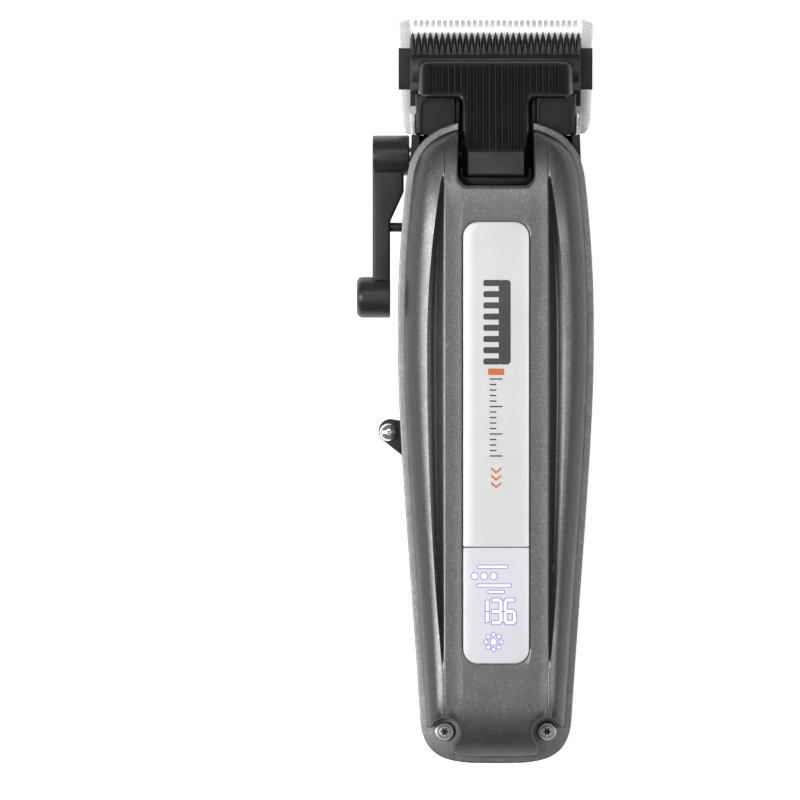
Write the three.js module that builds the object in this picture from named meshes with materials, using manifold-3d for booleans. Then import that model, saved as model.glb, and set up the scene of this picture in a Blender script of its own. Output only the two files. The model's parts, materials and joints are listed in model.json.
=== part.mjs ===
// Cordless hair clipper lying on its back.
// +Z is the front face, +Y points to the blades and the taper lever is on -X.
import * as THREE from 'three';
import { mergeVertices } from 'three/addons/utils/BufferGeometryUtils.js';
import Module from 'manifold-3d';

const wasm = await Module();
wasm.setup();

// ---- driving dimensions, in millimetres ----
const TAIL_Y = -87.6;
const SPLIT_Z = 23;
const WALL = 1.8;
const BODY = { waistY: TAIL_Y + 10.6, waistHalf: 17.8, shoulderY: 49.3, shoulderHalf: 21, headY: 63.7 };
const CORNER = { tailX: 9.6, waist: 10.7, flankLow: 60, flankHigh: 40, shoulder: 6.8, headX: 16.9 };
const LEAN = { waist: 0.0636, shoulder: 0.114 };
const COVER = { flangeWidth: 1.45, rise: 10.7, tailRollY: TAIL_Y + 17.6, headRollY: 38 };
const GROOVE = { middleY: 9.5, toHead: 41, toTail: 74, width: 3.5, leastWidth: 0.6, depth: 1.9 };
const PANEL = { half: 12.1, mostOfHalf: 0.74, dip: 0.1 };
const PLATE = { half: 7.75, topY: 39.4, bottomY: TAIL_Y + 23.6, corner: 3.4, seamCorner: 0.3,
  thick: 1.1, gap: 0.2 };
const SLOT = { half: 8.9, bottomY: 47.9, corner: 2.5 };
const REAR = { inset: 0.8, bulge: 1.8, power: 2.6, tailFlatY: TAIL_Y + 29.6, tailRun: 28, tailRise: 10,
  headFlatY: 35, headRise: 8.5, sides: 14 };
const HEAD = { half: 19.8, cheek: 0.8, cheekY: 65, seatY: 60, blockFrontY: 69.5, blockRearY: 50.3 };
const FIXED = { half: 23, rearY: 60.4, tipY: 87.4, rootY: 79.2, thick: 2.2, teeth: 30, lugHalf: 20.1,
  rearCorner: 1 };
const CUTTER = { half: 20.1, rearY: 70.2, tipY: 84.4, rootY: 79.2, thick: 1.9, teeth: 29, lift: 0.1,
  stroke: 1.3, rearCorner: 1.5, ledgeHigh: 0.6, ledgeLong: 7.5 };
const TOOTH = { root: 0.36, tip: 0.14 };
const T_COVER = { half: 18.2, frontY: 77.6, barY: 68.6, tongueHalf: 7.8, endY: 49.8, bendY: 56, shell: 1.8,
  frontZ: SPLIT_Z - 4.7, bendZ: SPLIT_Z + 7, endRise: 1.5, corner: 1.6 };
const MOTOR = { z: SPLIT_Z - 4.5, radius: 12, flat: 10.6, rearY: -2, frontY: 35, shaft: 1, eccentric: 1.3,
  roller: 1.8, capRadius: 8, capLong: 2.6 };
const ROTOR = { discY: 40, disc: 4.5, discFront: 46.5, pinFront: 61.3, trim: 1.6 };
const BRACKET = { half: 14, below: 11.5, above: 9, thick: 1.6, bore: 3.6 };
const DAMPER = { y0: 10, y1: 16, thick: 1.2 };
const CELL = { radius: 9.15, rearY: TAIL_Y + 16.7, frontY: -5.9, floorZ: 4.75 };
const TAB = { half: 3, thick: 0.3, below: 3, above: 7 };
const CHASSIS = { half: 7.4, belowMotor: 9.5, room: 0.2, overlap: 1.5 };
const BOARD = { half: 11, thick: 1.6, lift: 0.8 };
const CHIPS = [
  { x: 0, half: 4, y0: -30, y1: -22, high: 1.2 },
  { x: 7, half: 2, y0: -44, y1: -40, high: 2.4 },
];
const LEAD = { radius: 0.6, x: 5, steps: 10, sides: 4 };
const WINDOW = { half: 6.5, edge: 2, seamEdge: 1.6, boardHalf: 8, boardOver: 1, boardThick: 1.2, light: 3.05 };
const LEVER = { y: 55.3, z: SPLIT_Z - 9, hub: 4.75, outX: -29, inX: -20.3, stemX: -24.8, stemHalf: 2.5,
  thumbY: 21.9, thumb: 4.85, thumbOut: 3.7, chamfer: 1.4 };
const GUSSET = { inX: -21.6, topY: 46.7, footY: 39.7 };
const DETENT = { y: 38.4, radius: 1.1, inX: -22 };
const SHAFT = { radius: 2, end: -9.3, pin: 1, pinLong: 1.8, disc: 0.8, webHalf: 1.6 };
const TAPER = { crank: 3, pinBelow: 1.8, pinAbove: 1.2, lugTop: 2.6, lugFront: 2.4 };
const CARRIAGE = { half: 8.2, rearY: 53.2, frontY: 69.7, lug: 2.2 };
const YOKE = { half: 7, rearY: 58.2, blockY: 62.5, frontY: 74, high: 7.3, plate: 2, wall: 1, room: 0.2 };
const SPRING = { half: 7.6, rearY: 2.3, kneeY: 58, tipX: 1.4, tipY: 60.6, lift: 0.6, radius: 0.5 };
const SWITCH = { y: -9.6, z: SPLIT_Z - 9, travel: 4, fin: 2.87, centreX: -24.7, innerX: -21.9, thick: 5,
  finFront: 2.4, finRear: 5.9 };
const STEM = { half: 2, halfHigh: 1.4, inX: -18.4, inset: 1 };
const CONTACT = { x0: -17.6, x1: -12.6, y0: -16, y1: -2, below: 2, above: 3 };
const KNOB_PROFILE = [[0, 0], [2.1, 0], [2.1, 0.7], [1.7, 1.3], [0.9, 1.7], [0, 1.8]];
const KNOB = { offX: 0.5, offY: 0.3 };
const SCREW = { x: 12, y: TAIL_Y + 7.5, head: 2.3, high: 1.4, shank: 1.1, scallop: 3.3, spreadX: 3.2,
  spreadY: 4.2, spread: 2, post: 3.1, length: 12.8 };
const BLADE_SCREW = { x: 13.4, y: 67.6, head: 2.4, high: 1.3, shank: 1.2, length: 7, points: 4 };
const MOTOR_SCREW = { x: 7.5, head: 1.9, high: 1.3, shank: 1, length: 5, points: 4 };
const LEVER_SCREW = { head: 2.2, high: 0.9, shank: 1.2, length: 1.4, points: 4 };
const PORT = { half: 4.45, high: 3.3, z: SPLIT_Z - 5.5, depth: 7, wall: 0.35, tongueInset: 1.1, frameX: 6,
  frameZ: 3.6, frameLong: 3, frameIn: 0.6, socketIn: 1.4, cutLong: 4 };

const FINE = 0.1;
const GAP = 0.3;
const THIN = 0.05;
const FAR = 60;

const FLANGE_Z = SPLIT_Z + WALL;
const CROWN_Z = FLANGE_Z + COVER.rise;
const PLATE_Z = CROWN_Z - FINE - PLATE.thick;
const SEAM_Y = PLATE.bottomY + 27.2;
const SEAT_Z = SPLIT_Z - 12;
const FIXED_TOP = SEAT_Z + FIXED.thick;
const CUTTER_Z = FIXED_TOP + CUTTER.lift;
const CUTTER_TOP = CUTTER_Z + CUTTER.thick;
const BLOCK_TOP = SPLIT_Z - 2.2;
const CHEEK_TOP = SPLIT_Z - 3;
const BRIDGE_TOP = SPLIT_Z + 4.5;
const WELL_HALF = 9.4;
const CELL_Z = CELL.floorZ + CELL.radius;
const BOARD_Z = CELL_Z + CELL.radius + BOARD.lift;
const YOKE_TOP = CUTTER_TOP + YOKE.high;
const PIN_Z = LEVER.z + TAPER.crank;
const CAM_Z = MOTOR.z + MOTOR.eccentric;
const BRACKET_FRONT = MOTOR.frontY + BRACKET.thick;
const WINDOW_REAR = PLATE.bottomY + WINDOW.edge;
const WINDOW_FRONT = SEAM_Y - WINDOW.seamEdge;
const LIGHT_Z = PLATE_Z - FINE - WINDOW.light;
const LEVER_SCREW_FACE = LEVER.outX + LEVER_SCREW.high;
const SHAFT_OUT = LEVER_SCREW_FACE + LEVER_SCREW.length + 2 * FINE;

const FINISH = {
  cover_grey: { color: '#77797c', roughness: 0.48, metalness: 0.75 },
  shell_black: { color: '#1d1e20', roughness: 0.5, metalness: 0 },
  gloss_black: { color: '#17181a', roughness: 0.3, metalness: 0 },
  inner_grey: { color: '#3c4044', roughness: 0.6, metalness: 0 },
  blade_steel: { color: '#d5d7d9', roughness: 0.2, metalness: 1 },
  cutter_black: { color: '#232427', roughness: 0.38, metalness: 0.6 },
  motor_steel: { color: '#a8abae', roughness: 0.35, metalness: 0.9 },
  chrome: { color: '#e0e2e4', roughness: 0.08, metalness: 1 },
  plate_silver: { color: '#dfe0e1', roughness: 0.28, metalness: 0.85 },
  window_clear: { color: '#dcdcea', roughness: 0.12, metalness: 0 },
  diffuser_white: { color: '#ecebf6', roughness: 0.6, metalness: 0 },
  board_green: { color: '#1f5b3c', roughness: 0.5, metalness: 0 },
  cell_wrap: { color: '#2f6fa8', roughness: 0.42, metalness: 0 },
  nickel: { color: '#c3bfb2', roughness: 0.3, metalness: 1 },
  damper_rubber: { color: '#2a2a2b', roughness: 0.85, metalness: 0 },
  lead_red: { color: '#b3262a', roughness: 0.5, metalness: 0 },
  lead_black: { color: '#202122', roughness: 0.5, metalness: 0 },
};

const clipper = new THREE.Group();
clipper.name = 'hair_clipper';

// ---- solids ----
function solid(geometry) {
  let shape = geometry.clone();
  shape.deleteAttribute('normal');
  shape.deleteAttribute('uv');
  shape = mergeVertices(shape, 1e-4);
  const places = shape.attributes.position.array;
  const corners = Array.from(shape.index.array);
  const faces = [];
  for (let i = 0; i < corners.length; i += 3) {
    const [a, b, c] = corners.slice(i, i + 3);
    if (a !== b && b !== c && c !== a) faces.push(a, b, c);
  }
  if (signedVolume(places, faces) < 0) faces.reverse();
  const mesh = new wasm.Mesh({
    numProp: 3, vertProperties: new Float32Array(places), triVerts: new Uint32Array(faces),
  });
  return new wasm.Manifold(mesh);
}

function signedVolume(places, faces) {
  const [a, b, c] = [new THREE.Vector3(), new THREE.Vector3(), new THREE.Vector3()];
  let total = 0;
  for (let i = 0; i < faces.length; i += 3) {
    a.fromArray(places, faces[i] * 3);
    b.fromArray(places, faces[i + 1] * 3);
    c.fromArray(places, faces[i + 2] * 3);
    total += a.dot(b.cross(c));
  }
  return total;
}

function add(name, body, finish) {
  const mesh = body.getMesh();
  const geometry = new THREE.BufferGeometry();
  geometry.setAttribute('position', new THREE.BufferAttribute(new Float32Array(mesh.vertProperties), 3));
  geometry.setIndex(Array.from(mesh.triVerts));
  geometry.computeVertexNormals();
  const piece = new THREE.Mesh(geometry, new THREE.MeshStandardMaterial(FINISH[finish]));
  piece.name = name;
  clipper.add(piece);
}

function box(x0, x1, y0, y1, z0, z1) {
  const shape = new THREE.BoxGeometry(x1 - x0, y1 - y0, z1 - z0);
  return solid(shape.translate((x0 + x1) / 2, (y0 + y1) / 2, (z0 + z1) / 2));
}

// A round bar along X, Y or Z; `at` gives the other two coordinates in order.
function bar(axis, radius, from, to, at, sides = 20, endRadius = radius) {
  const shape = new THREE.CylinderGeometry(endRadius, radius, to - from, sides);
  const middle = (from + to) / 2;
  if (axis === 'x') shape.rotateZ(-Math.PI / 2).translate(middle, at[0], at[1]);
  if (axis === 'y') shape.translate(at[0], middle, at[1]);
  if (axis === 'z') shape.rotateX(Math.PI / 2).translate(at[0], at[1], middle);
  return solid(shape);
}

function prism(shape, z0, z1, curveSegments = 6) {
  const body = new THREE.ExtrudeGeometry(shape, { depth: z1 - z0, bevelEnabled: false, curveSegments });
  return solid(body.translate(0, 0, z0));
}

// Extrudes an outline given in Y and Z from x0 to x1.
function slabAlongX(points, x0, x1) {
  const shape = new THREE.Shape(points.map(([y, z]) => new THREE.Vector2(y, z)));
  const body = new THREE.ExtrudeGeometry(shape, { depth: x1 - x0, bevelEnabled: false });
  const turn = new THREE.Matrix4().makeBasis(
    new THREE.Vector3(0, 1, 0), new THREE.Vector3(0, 0, 1), new THREE.Vector3(1, 0, 0));
  return solid(body.applyMatrix4(turn).translate(x0, 0, 0));
}

function roundedBox(x0, x1, y0, y1, radius) {
  const shape = new THREE.Shape();
  shape.moveTo(x0 + radius, y0);
  shape.lineTo(x1 - radius, y0);
  shape.absarc(x1 - radius, y0 + radius, radius, -Math.PI / 2, 0);
  shape.absarc(x1 - radius, y1 - radius, radius, 0, Math.PI / 2);
  shape.absarc(x0 + radius, y1 - radius, radius, Math.PI / 2, Math.PI);
  shape.absarc(x0 + radius, y0 + radius, radius, Math.PI, Math.PI * 1.5);
  return shape;
}

function wire(points, radius, steps, sides) {
  const path = new THREE.CatmullRomCurve3(points.map((p) => new THREE.Vector3(...p)), false, 'centripetal');
  const round = new THREE.Shape();
  round.absarc(0, 0, radius, 0, Math.PI * 2);
  const settings = { steps, extrudePath: path, bevelEnabled: false, curveSegments: sides };
  return solid(new THREE.ExtrudeGeometry(round, settings));
}

// Skins a closed solid over sections taken at rising Y; each section is a loop of [x, z] points.
function loft(sections) {
  const around = sections[0].loop.length;
  const places = sections.flatMap(({ y, loop }) => loop.flatMap(([x, z]) => [x, y, z]));
  const faces = [];
  for (let row = 0; row + 1 < sections.length; row++) {
    for (let i = 0; i < around; i++) {
      const [a, b] = [row * around + i, row * around + (i + 1) % around];
      faces.push(a, b, b + around, a, b + around, a + around);
    }
  }
  for (const [row, flip] of [[0, true], [sections.length - 1, false]]) {
    const loop = sections[row].loop.map(([x, z]) => new THREE.Vector2(x, z));
    for (const face of THREE.ShapeUtils.triangulateShape(loop, [])) {
      const corners = face.map((i) => row * around + i);
      faces.push(...(THREE.ShapeUtils.isClockWise(loop) === flip ? corners : corners.reverse()));
    }
  }
  const shape = new THREE.BufferGeometry();
  shape.setAttribute('position', new THREE.BufferAttribute(new Float32Array(places), 3));
  shape.setIndex(faces);
  return solid(shape);
}

// ---- the plan outline, shared by both halves ----
const TAIL_CURVE = new THREE.CubicBezierCurve(
  new THREE.Vector2(0, TAIL_Y), new THREE.Vector2(CORNER.tailX, TAIL_Y),
  new THREE.Vector2(BODY.waistHalf - LEAN.waist * CORNER.waist, BODY.waistY - CORNER.waist),
  new THREE.Vector2(BODY.waistHalf, BODY.waistY));
const FLANK_CURVE = new THREE.CubicBezierCurve(
  new THREE.Vector2(BODY.waistHalf, BODY.waistY),
  new THREE.Vector2(BODY.waistHalf + LEAN.waist * CORNER.flankLow, BODY.waistY + CORNER.flankLow),
  new THREE.Vector2(BODY.shoulderHalf + LEAN.shoulder * CORNER.flankHigh, BODY.shoulderY - CORNER.flankHigh),
  new THREE.Vector2(BODY.shoulderHalf, BODY.shoulderY));
const HEAD_CURVE = new THREE.CubicBezierCurve(
  new THREE.Vector2(BODY.shoulderHalf, BODY.shoulderY),
  new THREE.Vector2(BODY.shoulderHalf - LEAN.shoulder * CORNER.shoulder, BODY.shoulderY + CORNER.shoulder),
  new THREE.Vector2(CORNER.headX, BODY.headY), new THREE.Vector2(0, BODY.headY));
const SIDE = [TAIL_CURVE, FLANK_CURVE, HEAD_CURVE];
const SIDE_STEPS = [6, 10, 6];
const LEAST_HALF = 3;

function bodyShape() {
  const shape = new THREE.Shape();
  shape.moveTo(0, TAIL_Y);
  for (const { v1, v2, v3 } of SIDE) shape.bezierCurveTo(v1.x, v1.y, v2.x, v2.y, v3.x, v3.y);
  for (const { v0, v1, v2 } of [...SIDE].reverse()) {
    shape.bezierCurveTo(-v2.x, v2.y, -v1.x, v1.y, -v0.x, v0.y);
  }
  return shape;
}

// Half widths of the outline drawn in by `inset`, from the tail to the head.
function sideRows(inset) {
  const rows = [];
  SIDE.forEach((curve, k) => {
    for (let i = k ? 1 : 0; i <= SIDE_STEPS[k]; i++) {
      const at = curve.getPoint(i / SIDE_STEPS[k]);
      const along = curve.getTangent(i / SIDE_STEPS[k]);
      rows.push({ half: at.x - inset * along.y, y: at.y + inset * along.x });
    }
  });
  return rows.filter((row) => row.half >= LEAST_HALF);
}

// ---- front cover ----
const ease = (s, power) => Math.max(0, 1 - Math.min(1, Math.max(0, s)) ** power) ** (1 / power);

function crownRise(y) {
  const tailEnd = TAIL_Y + COVER.flangeWidth;
  const headEnd = BODY.headY - COVER.flangeWidth;
  const tail = ease((COVER.tailRollY - y) / (COVER.tailRollY - tailEnd), 2.2);
  const head = ease((y - COVER.headRollY) / (headEnd - COVER.headRollY), 2);
  return COVER.rise * tail * head;
}

function crownLoop(y, half, drop, floor) {
  const along = (y - GROOVE.middleY) / (y > GROOVE.middleY ? GROOVE.toHead : GROOVE.toTail);
  const fade = Math.max(0, 1 - along * along);
  const panel = Math.min(PANEL.half, PANEL.mostOfHalf * half);
  const width = Math.min(GROOVE.width * fade + GROOVE.leastWidth, (half - panel) / 2);
  const rise = crownRise(y);
  const height = (x) => FLANGE_Z + rise * ease((x - panel) / (half - panel), 2.2) - drop;
  const right = [[0, height(0)], [PLATE.half, height(0)], [(PLATE.half + panel) / 2, height(0) - PANEL.dip]];
  if (panel < PLATE.half + 1) right.splice(1, 2, [panel / 3, height(0)], [panel / 1.5, height(0)]);
  right.push([panel, height(panel)]);
  right.push([panel + width * 0.45, height(panel + width * 0.45) - GROOVE.depth * Math.sqrt(fade)]);
  for (const part of [0, 0.3, 0.55, 0.75, 0.9, 0.98, 1]) {
    const x = panel + width + (half - panel - width) * part;
    right.push([x, height(x)]);
  }
  right.push([half, floor]);
  const left = right.slice(1).map(([x, z]) => [-x, z]).reverse();
  return [...left, ...right];
}

function crown(inset, drop, floor) {
  return loft(sideRows(inset).map(({ half, y }) => ({ y, loop: crownLoop(y, half, drop, floor) })));
}

function screwWells(extra, from, to) {
  const outX = SCREW.x + SCREW.spreadX;
  const outY = SCREW.y - SCREW.spreadY;
  return [-1, 1].map((side) => bar('z', SCREW.scallop + extra, from, to, [side * SCREW.x, SCREW.y])
    .add(bar('z', SCREW.scallop + SCREW.spread + extra, from, to, [side * outX, outY])))
    .reduce((all, one) => all.add(one));
}

function upperCover() {
  const hollow = crown(COVER.flangeWidth + WALL, WALL, SPLIT_Z - 1).subtract(screwWells(WALL, 0, FAR));
  const recess = roundedBox(-PLATE.half - PLATE.gap, PLATE.half + PLATE.gap, PLATE.bottomY - PLATE.gap,
    PLATE.topY + PLATE.gap, PLATE.corner + PLATE.gap);
  const window = box(-WINDOW.half, WINDOW.half, WINDOW_REAR, WINDOW_FRONT, SPLIT_Z, FAR);
  const slot = roundedBox(-SLOT.half, SLOT.half, SLOT.bottomY, FAR * 2, SLOT.corner);
  let cover = prism(bodyShape(), SPLIT_Z, FLANGE_Z, SIDE_STEPS[1])
    .add(crown(COVER.flangeWidth, 0, SPLIT_Z + 1))
    .subtract(screwWells(0, FLANGE_Z, FAR))
    .subtract(hollow)
    .subtract(prism(recess, PLATE_Z, FAR, 4))
    .subtract(window)
    .subtract(prism(slot, SPLIT_Z - 1, FAR, 4));
  for (const side of [-1, 1]) {
    cover = cover.subtract(bar('z', SCREW.shank + FINE, 0, FAR, [side * SCREW.x, SCREW.y], 12));
  }
  return cover;
}

// ---- rear housing ----
function bellyZ(y) {
  if (y < REAR.tailFlatY) return REAR.tailRise * ((REAR.tailFlatY - y) / REAR.tailRun) ** 2;
  const headRun = HEAD.cheekY - REAR.headFlatY;
  if (y > REAR.headFlatY) return REAR.headRise * ((y - REAR.headFlatY) / headRun) ** 1.5;
  return 0;
}

function rearLoop(y, half, drop, top) {
  const floor = bellyZ(y) + drop;
  const depth = SPLIT_Z - bellyZ(y) + REAR.bulge - drop;
  const loop = [[-half, top]];
  for (let i = 0; i <= REAR.sides; i++) {
    const turn = Math.PI * i / REAR.sides;
    const x = -half * Math.sign(Math.cos(turn)) * Math.abs(Math.cos(turn)) ** (2 / REAR.power);
    const z = SPLIT_Z - depth * Math.sin(turn) ** (2 / REAR.power);
    loop.push([x, Math.max(floor, z)]);
  }
  loop.push([half, top]);
  return loop;
}

function rearSolid(inset, drop, top, headEnd) {
  const rows = sideRows(inset).filter((row) => row.y < BODY.shoulderY);
  const headHalf = HEAD.half - drop;
  rows.push({ half: headHalf, y: (BODY.shoulderY + HEAD.seatY) / 2 }, { half: headHalf, y: headEnd });
  return loft(rows.map(({ half, y }) => ({ y, loop: rearLoop(y, half, drop, top) })));
}

function rearHousing() {
  const outer = rearSolid(REAR.inset, 0, SPLIT_Z + 1, HEAD.cheekY);
  const posts = [-1, 1].map((side) => bar('z', SCREW.post, 0, FAR, [side * SCREW.x, SCREW.y], 16))
    .reduce((all, one) => all.add(one));
  const hollow = rearSolid(REAR.inset + WALL, WALL, FAR, HEAD.seatY + 0.5).subtract(posts);
  let shell = outer.subtract(box(-FAR, FAR, -FAR * 2, FAR * 2, SPLIT_Z, FAR))
    .subtract(hollow)
    .subtract(box(-FAR, FAR, HEAD.seatY, FAR * 2, SEAT_Z, FAR));
  for (const side of [-1, 1]) {
    const [x0, x1] = [side * (HEAD.half - HEAD.cheek), side * HEAD.half].sort((a, b) => a - b);
    const screwAt = [side * SCREW.x, SCREW.y];
    shell = shell
      .add(box(x0, x1, LEVER.y - 1, HEAD.cheekY, FIXED_TOP + GAP, CHEEK_TOP))
      .subtract(bar('z', SCREW.shank + THIN, FLANGE_Z - SCREW.length - FINE, FAR, screwAt, 12));
  }
  const slotRear = SWITCH.y - STEM.half - GAP;
  return shell
    .subtract(bar('x', SHAFT.radius + FINE, -FAR, 0, [LEVER.y, LEVER.z], 16))
    .subtract(box(-FAR, CONTACT.x1, slotRear, SWITCH.y + STEM.half + SWITCH.travel + GAP,
      SWITCH.z - STEM.halfHigh - GAP, SWITCH.z + STEM.halfHigh + GAP))
    .subtract(box(-PORT.frameX, PORT.frameX, -FAR * 2, TAIL_Y + PORT.cutLong,
      PORT.z - PORT.frameZ, PORT.z + PORT.frameZ));
}

// ---- head, blades and drive ----
function headBlock() {
  const half = HEAD.half - HEAD.cheek - FINE * 2;
  const inner = HEAD.half - WALL - 2;
  return box(-half, half, HEAD.seatY + FINE, HEAD.blockFrontY, FIXED_TOP, BLOCK_TOP)
    .add(box(-inner, inner, HEAD.blockRearY, HEAD.seatY + 1, FIXED_TOP, BLOCK_TOP))
    .subtract(box(-WELL_HALF, WELL_HALF, HEAD.blockRearY + 2, FAR * 2, 0, FAR))
    .add(box(-SLOT.half + GAP, SLOT.half - GAP, SLOT.bottomY + FINE, HEAD.blockRearY + 2,
      FIXED_TOP, BRIDGE_TOP))
    .subtract(bar('y', 5.5, 0, FAR * 2, [0, MOTOR.z]))
    .subtract(bar('x', SHAFT.radius + FINE, -FAR, 0, [LEVER.y, LEVER.z], 16))
    .subtract(bladeScrewHoles(BLADE_SCREW.shank + THIN, 0, SEAT_Z + BLADE_SCREW.length + THIN));
}

function bladeScrewHoles(radius, from, to) {
  return [-1, 1].map((side) => bar('z', radius, from, to, [side * BLADE_SCREW.x, BLADE_SCREW.y], 12))
    .reduce((all, one) => all.add(one));
}

// Comb-shaped plate outline: `teeth` tapered teeth between -half and half.
function toothedShape(half, rearY, rootY, tipY, teeth, corner) {
  const pitch = 2 * half / teeth;
  const shape = new THREE.Shape();
  shape.moveTo(-half + corner, rearY);
  shape.lineTo(half - corner, rearY);
  shape.absarc(half - corner, rearY + corner, corner, -Math.PI / 2, 0);
  for (let i = 0; i < teeth; i++) {
    const x = half - pitch * (i + 0.5);
    shape.lineTo(x + pitch * TOOTH.root, rootY);
    shape.lineTo(x + pitch * TOOTH.tip, tipY);
    shape.lineTo(x - pitch * TOOTH.tip, tipY);
    shape.lineTo(x - pitch * TOOTH.root, rootY);
  }
  shape.lineTo(-half, rootY);
  shape.absarc(-half + corner, rearY + corner, corner, Math.PI, Math.PI * 1.5);
  return shape;
}

function fixedBlade() {
  const comb = toothedShape(FIXED.lugHalf, FIXED.rearY, FIXED.rootY, FIXED.tipY, FIXED.teeth - 1,
    FIXED.rearCorner);
  let blade = prism(comb, SEAT_Z, FIXED_TOP, 3);
  for (const side of [-1, 1]) {
    const [x0, x1] = [side * (FIXED.lugHalf - 1), side * FIXED.half].sort((a, b) => a - b);
    const lug = roundedBox(x0, x1, FIXED.rearY, FIXED.tipY, FIXED.rearCorner);
    blade = blade.add(prism(lug, SEAT_Z, FIXED_TOP, 3));
  }
  return blade.subtract(bladeScrewHoles(BLADE_SCREW.shank + GAP, 0, FAR));
}

function movingBlade() {
  const comb = toothedShape(CUTTER.half, CUTTER.rearY, CUTTER.rootY, CUTTER.tipY, CUTTER.teeth,
    CUTTER.rearCorner);
  const [foot, top] = [CUTTER_TOP - FINE, CUTTER_TOP + CUTTER.ledgeHigh];
  const ledgeEnd = [[-CUTTER.ledgeLong, foot], [-0.5, foot], [-1.2, top], [2.5 - CUTTER.ledgeLong, top]]
    .map(([y, z]) => [CUTTER.rootY + y, z]);
  const ledge = slabAlongX(ledgeEnd, -CUTTER.half + 1, CUTTER.half - 1);
  return prism(comb, CUTTER_Z, CUTTER_TOP, 3).add(ledge);
}

// The carriage lies over the fixed blade and carries the cutter forward when the lever turns.
function taperCarriage() {
  const { half, rearY, frontY } = CARRIAGE;
  const slotHalf = SHAFT.pin + FINE;
  const lugX = -half + CARRIAGE.lug;
  const z0 = FIXED_TOP + GAP;
  return box(-half, half, rearY, frontY, z0, CUTTER_TOP - 2 * FINE)
    .add(box(-half, lugX, rearY, LEVER.y + TAPER.lugFront, z0, PIN_Z + TAPER.lugTop))
    .subtract(box(-FAR, lugX + 1, LEVER.y - slotHalf, LEVER.y + slotHalf,
      PIN_Z - TAPER.pinBelow, PIN_Z + TAPER.pinAbove));
}

// Clearance lets the roller turn freely at either end of the stroke.
function cutterYoke() {
  const { half, rearY, blockY, frontY } = YOKE;
  const room = MOTOR.roller + 2 * CUTTER.stroke + YOKE.room;
  const ledgeRear = CUTTER.rootY - CUTTER.ledgeLong - FINE;
  return box(-half, half, rearY, frontY, CUTTER_TOP, CUTTER_TOP + YOKE.plate)
    .subtract(box(-FAR, FAR, ledgeRear, FAR * 2, 0, CUTTER_TOP + CUTTER.ledgeHigh + FINE))
    .add(box(-half, half, rearY, blockY, CUTTER_TOP, YOKE_TOP))
    .subtract(box(-room, room, 0, blockY - YOKE.wall, CUTTER_TOP - 1, FAR));
}

function bladeCover() {
  const { half, frontY, barY, tongueHalf, endY, bendY, frontZ, bendZ, shell } = T_COVER;
  const slope = (bendZ - frontZ) / (frontY - bendY);
  const under = (y) => [y, frontZ + (frontY - y) * slope - shell];
  const profile = [[frontY, frontZ - shell + 2 * FINE], [frontY, frontZ], [bendY, bendZ],
    [endY, bendZ + T_COVER.endRise], [endY, bendZ + T_COVER.endRise - shell], under(bendY), under(frontY - 1)];
  const padTop = under(HEAD.blockFrontY - 1).map((v) => v + 0.5);
  const pad = [[HEAD.blockFrontY, BLOCK_TOP], padTop, [barY - 2, padTop[1]], [barY - 2, BLOCK_TOP]];
  const plan = roundedBox(-half, half, barY, frontY, T_COVER.corner);
  const tongue = roundedBox(-tongueHalf, tongueHalf, endY, barY + 4, T_COVER.corner);
  return slabAlongX(profile, -half, half)
    .add(slabAlongX(pad, WELL_HALF + GAP, half))
    .add(slabAlongX(pad, -half, -WELL_HALF - GAP))
    .intersect(prism(plan, 0, FAR, 4).add(prism(tongue, 0, FAR, 4)));
}

function bladeSpring() {
  const [side, top] = [SPRING.half, YOKE_TOP + SPRING.lift];
  const half = [[side, HEAD.blockRearY + SPRING.rearY, top + 1], [side, SPRING.kneeY, top + FINE],
    [side - SPRING.tipX, SPRING.tipY, top]];
  const mirrored = half.map(([x, y, z]) => [-x, y, z]).reverse();
  return wire([...half, ...mirrored], SPRING.radius, 18, 4);
}

function rotor() {
  return bar('y', MOTOR.shaft, MOTOR.frontY + THIN, ROTOR.discY + 1, [0, MOTOR.z], 12)
    .add(bar('y', ROTOR.disc, ROTOR.discY, ROTOR.discFront, [0, MOTOR.z], 20))
    .subtract(box(-FAR, FAR, ROTOR.discY + 1, FAR, 0, MOTOR.z - ROTOR.trim))
    .add(bar('y', MOTOR.shaft, ROTOR.discFront - 0.5, ROTOR.pinFront - THIN, [0, CAM_Z], 12));
}

function camRoller() {
  return bar('y', MOTOR.roller, YOKE.rearY + GAP + FINE, YOKE.blockY - YOKE.wall - GAP, [0, CAM_Z], 18)
    .subtract(bar('y', MOTOR.shaft + THIN, 0, FAR * 2, [0, CAM_Z], 12));
}

// The two flats leave room for the housing walls, and the two holes take the bracket's screws.
function motorCase() {
  const motor = bar('y', MOTOR.radius, MOTOR.rearY, MOTOR.frontY, [0, MOTOR.z], 28)
    .subtract(box(-FAR, -MOTOR.flat, -FAR, FAR, 0, FAR))
    .subtract(box(MOTOR.flat, FAR, -FAR, FAR, 0, FAR));
  const foot = BRACKET_FRONT - MOTOR_SCREW.length - 0.5;
  return motor.subtract(motorScrewHoles(MOTOR_SCREW.shank + THIN, foot));
}

function motorBracket() {
  const [low, high] = [MOTOR.z - BRACKET.below, MOTOR.z + BRACKET.above];
  return box(-BRACKET.half, BRACKET.half, MOTOR.frontY, BRACKET_FRONT, low, high)
    .subtract(bar('y', BRACKET.bore, 0, FAR, [0, MOTOR.z]))
    .subtract(motorScrewHoles(MOTOR_SCREW.shank + FINE, 0));
}

function motorScrewHoles(radius, from) {
  return [-1, 1].map((side) => bar('y', radius, from, FAR, [side * MOTOR_SCREW.x, MOTOR.z], 10))
    .reduce((all, one) => all.add(one));
}

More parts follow.
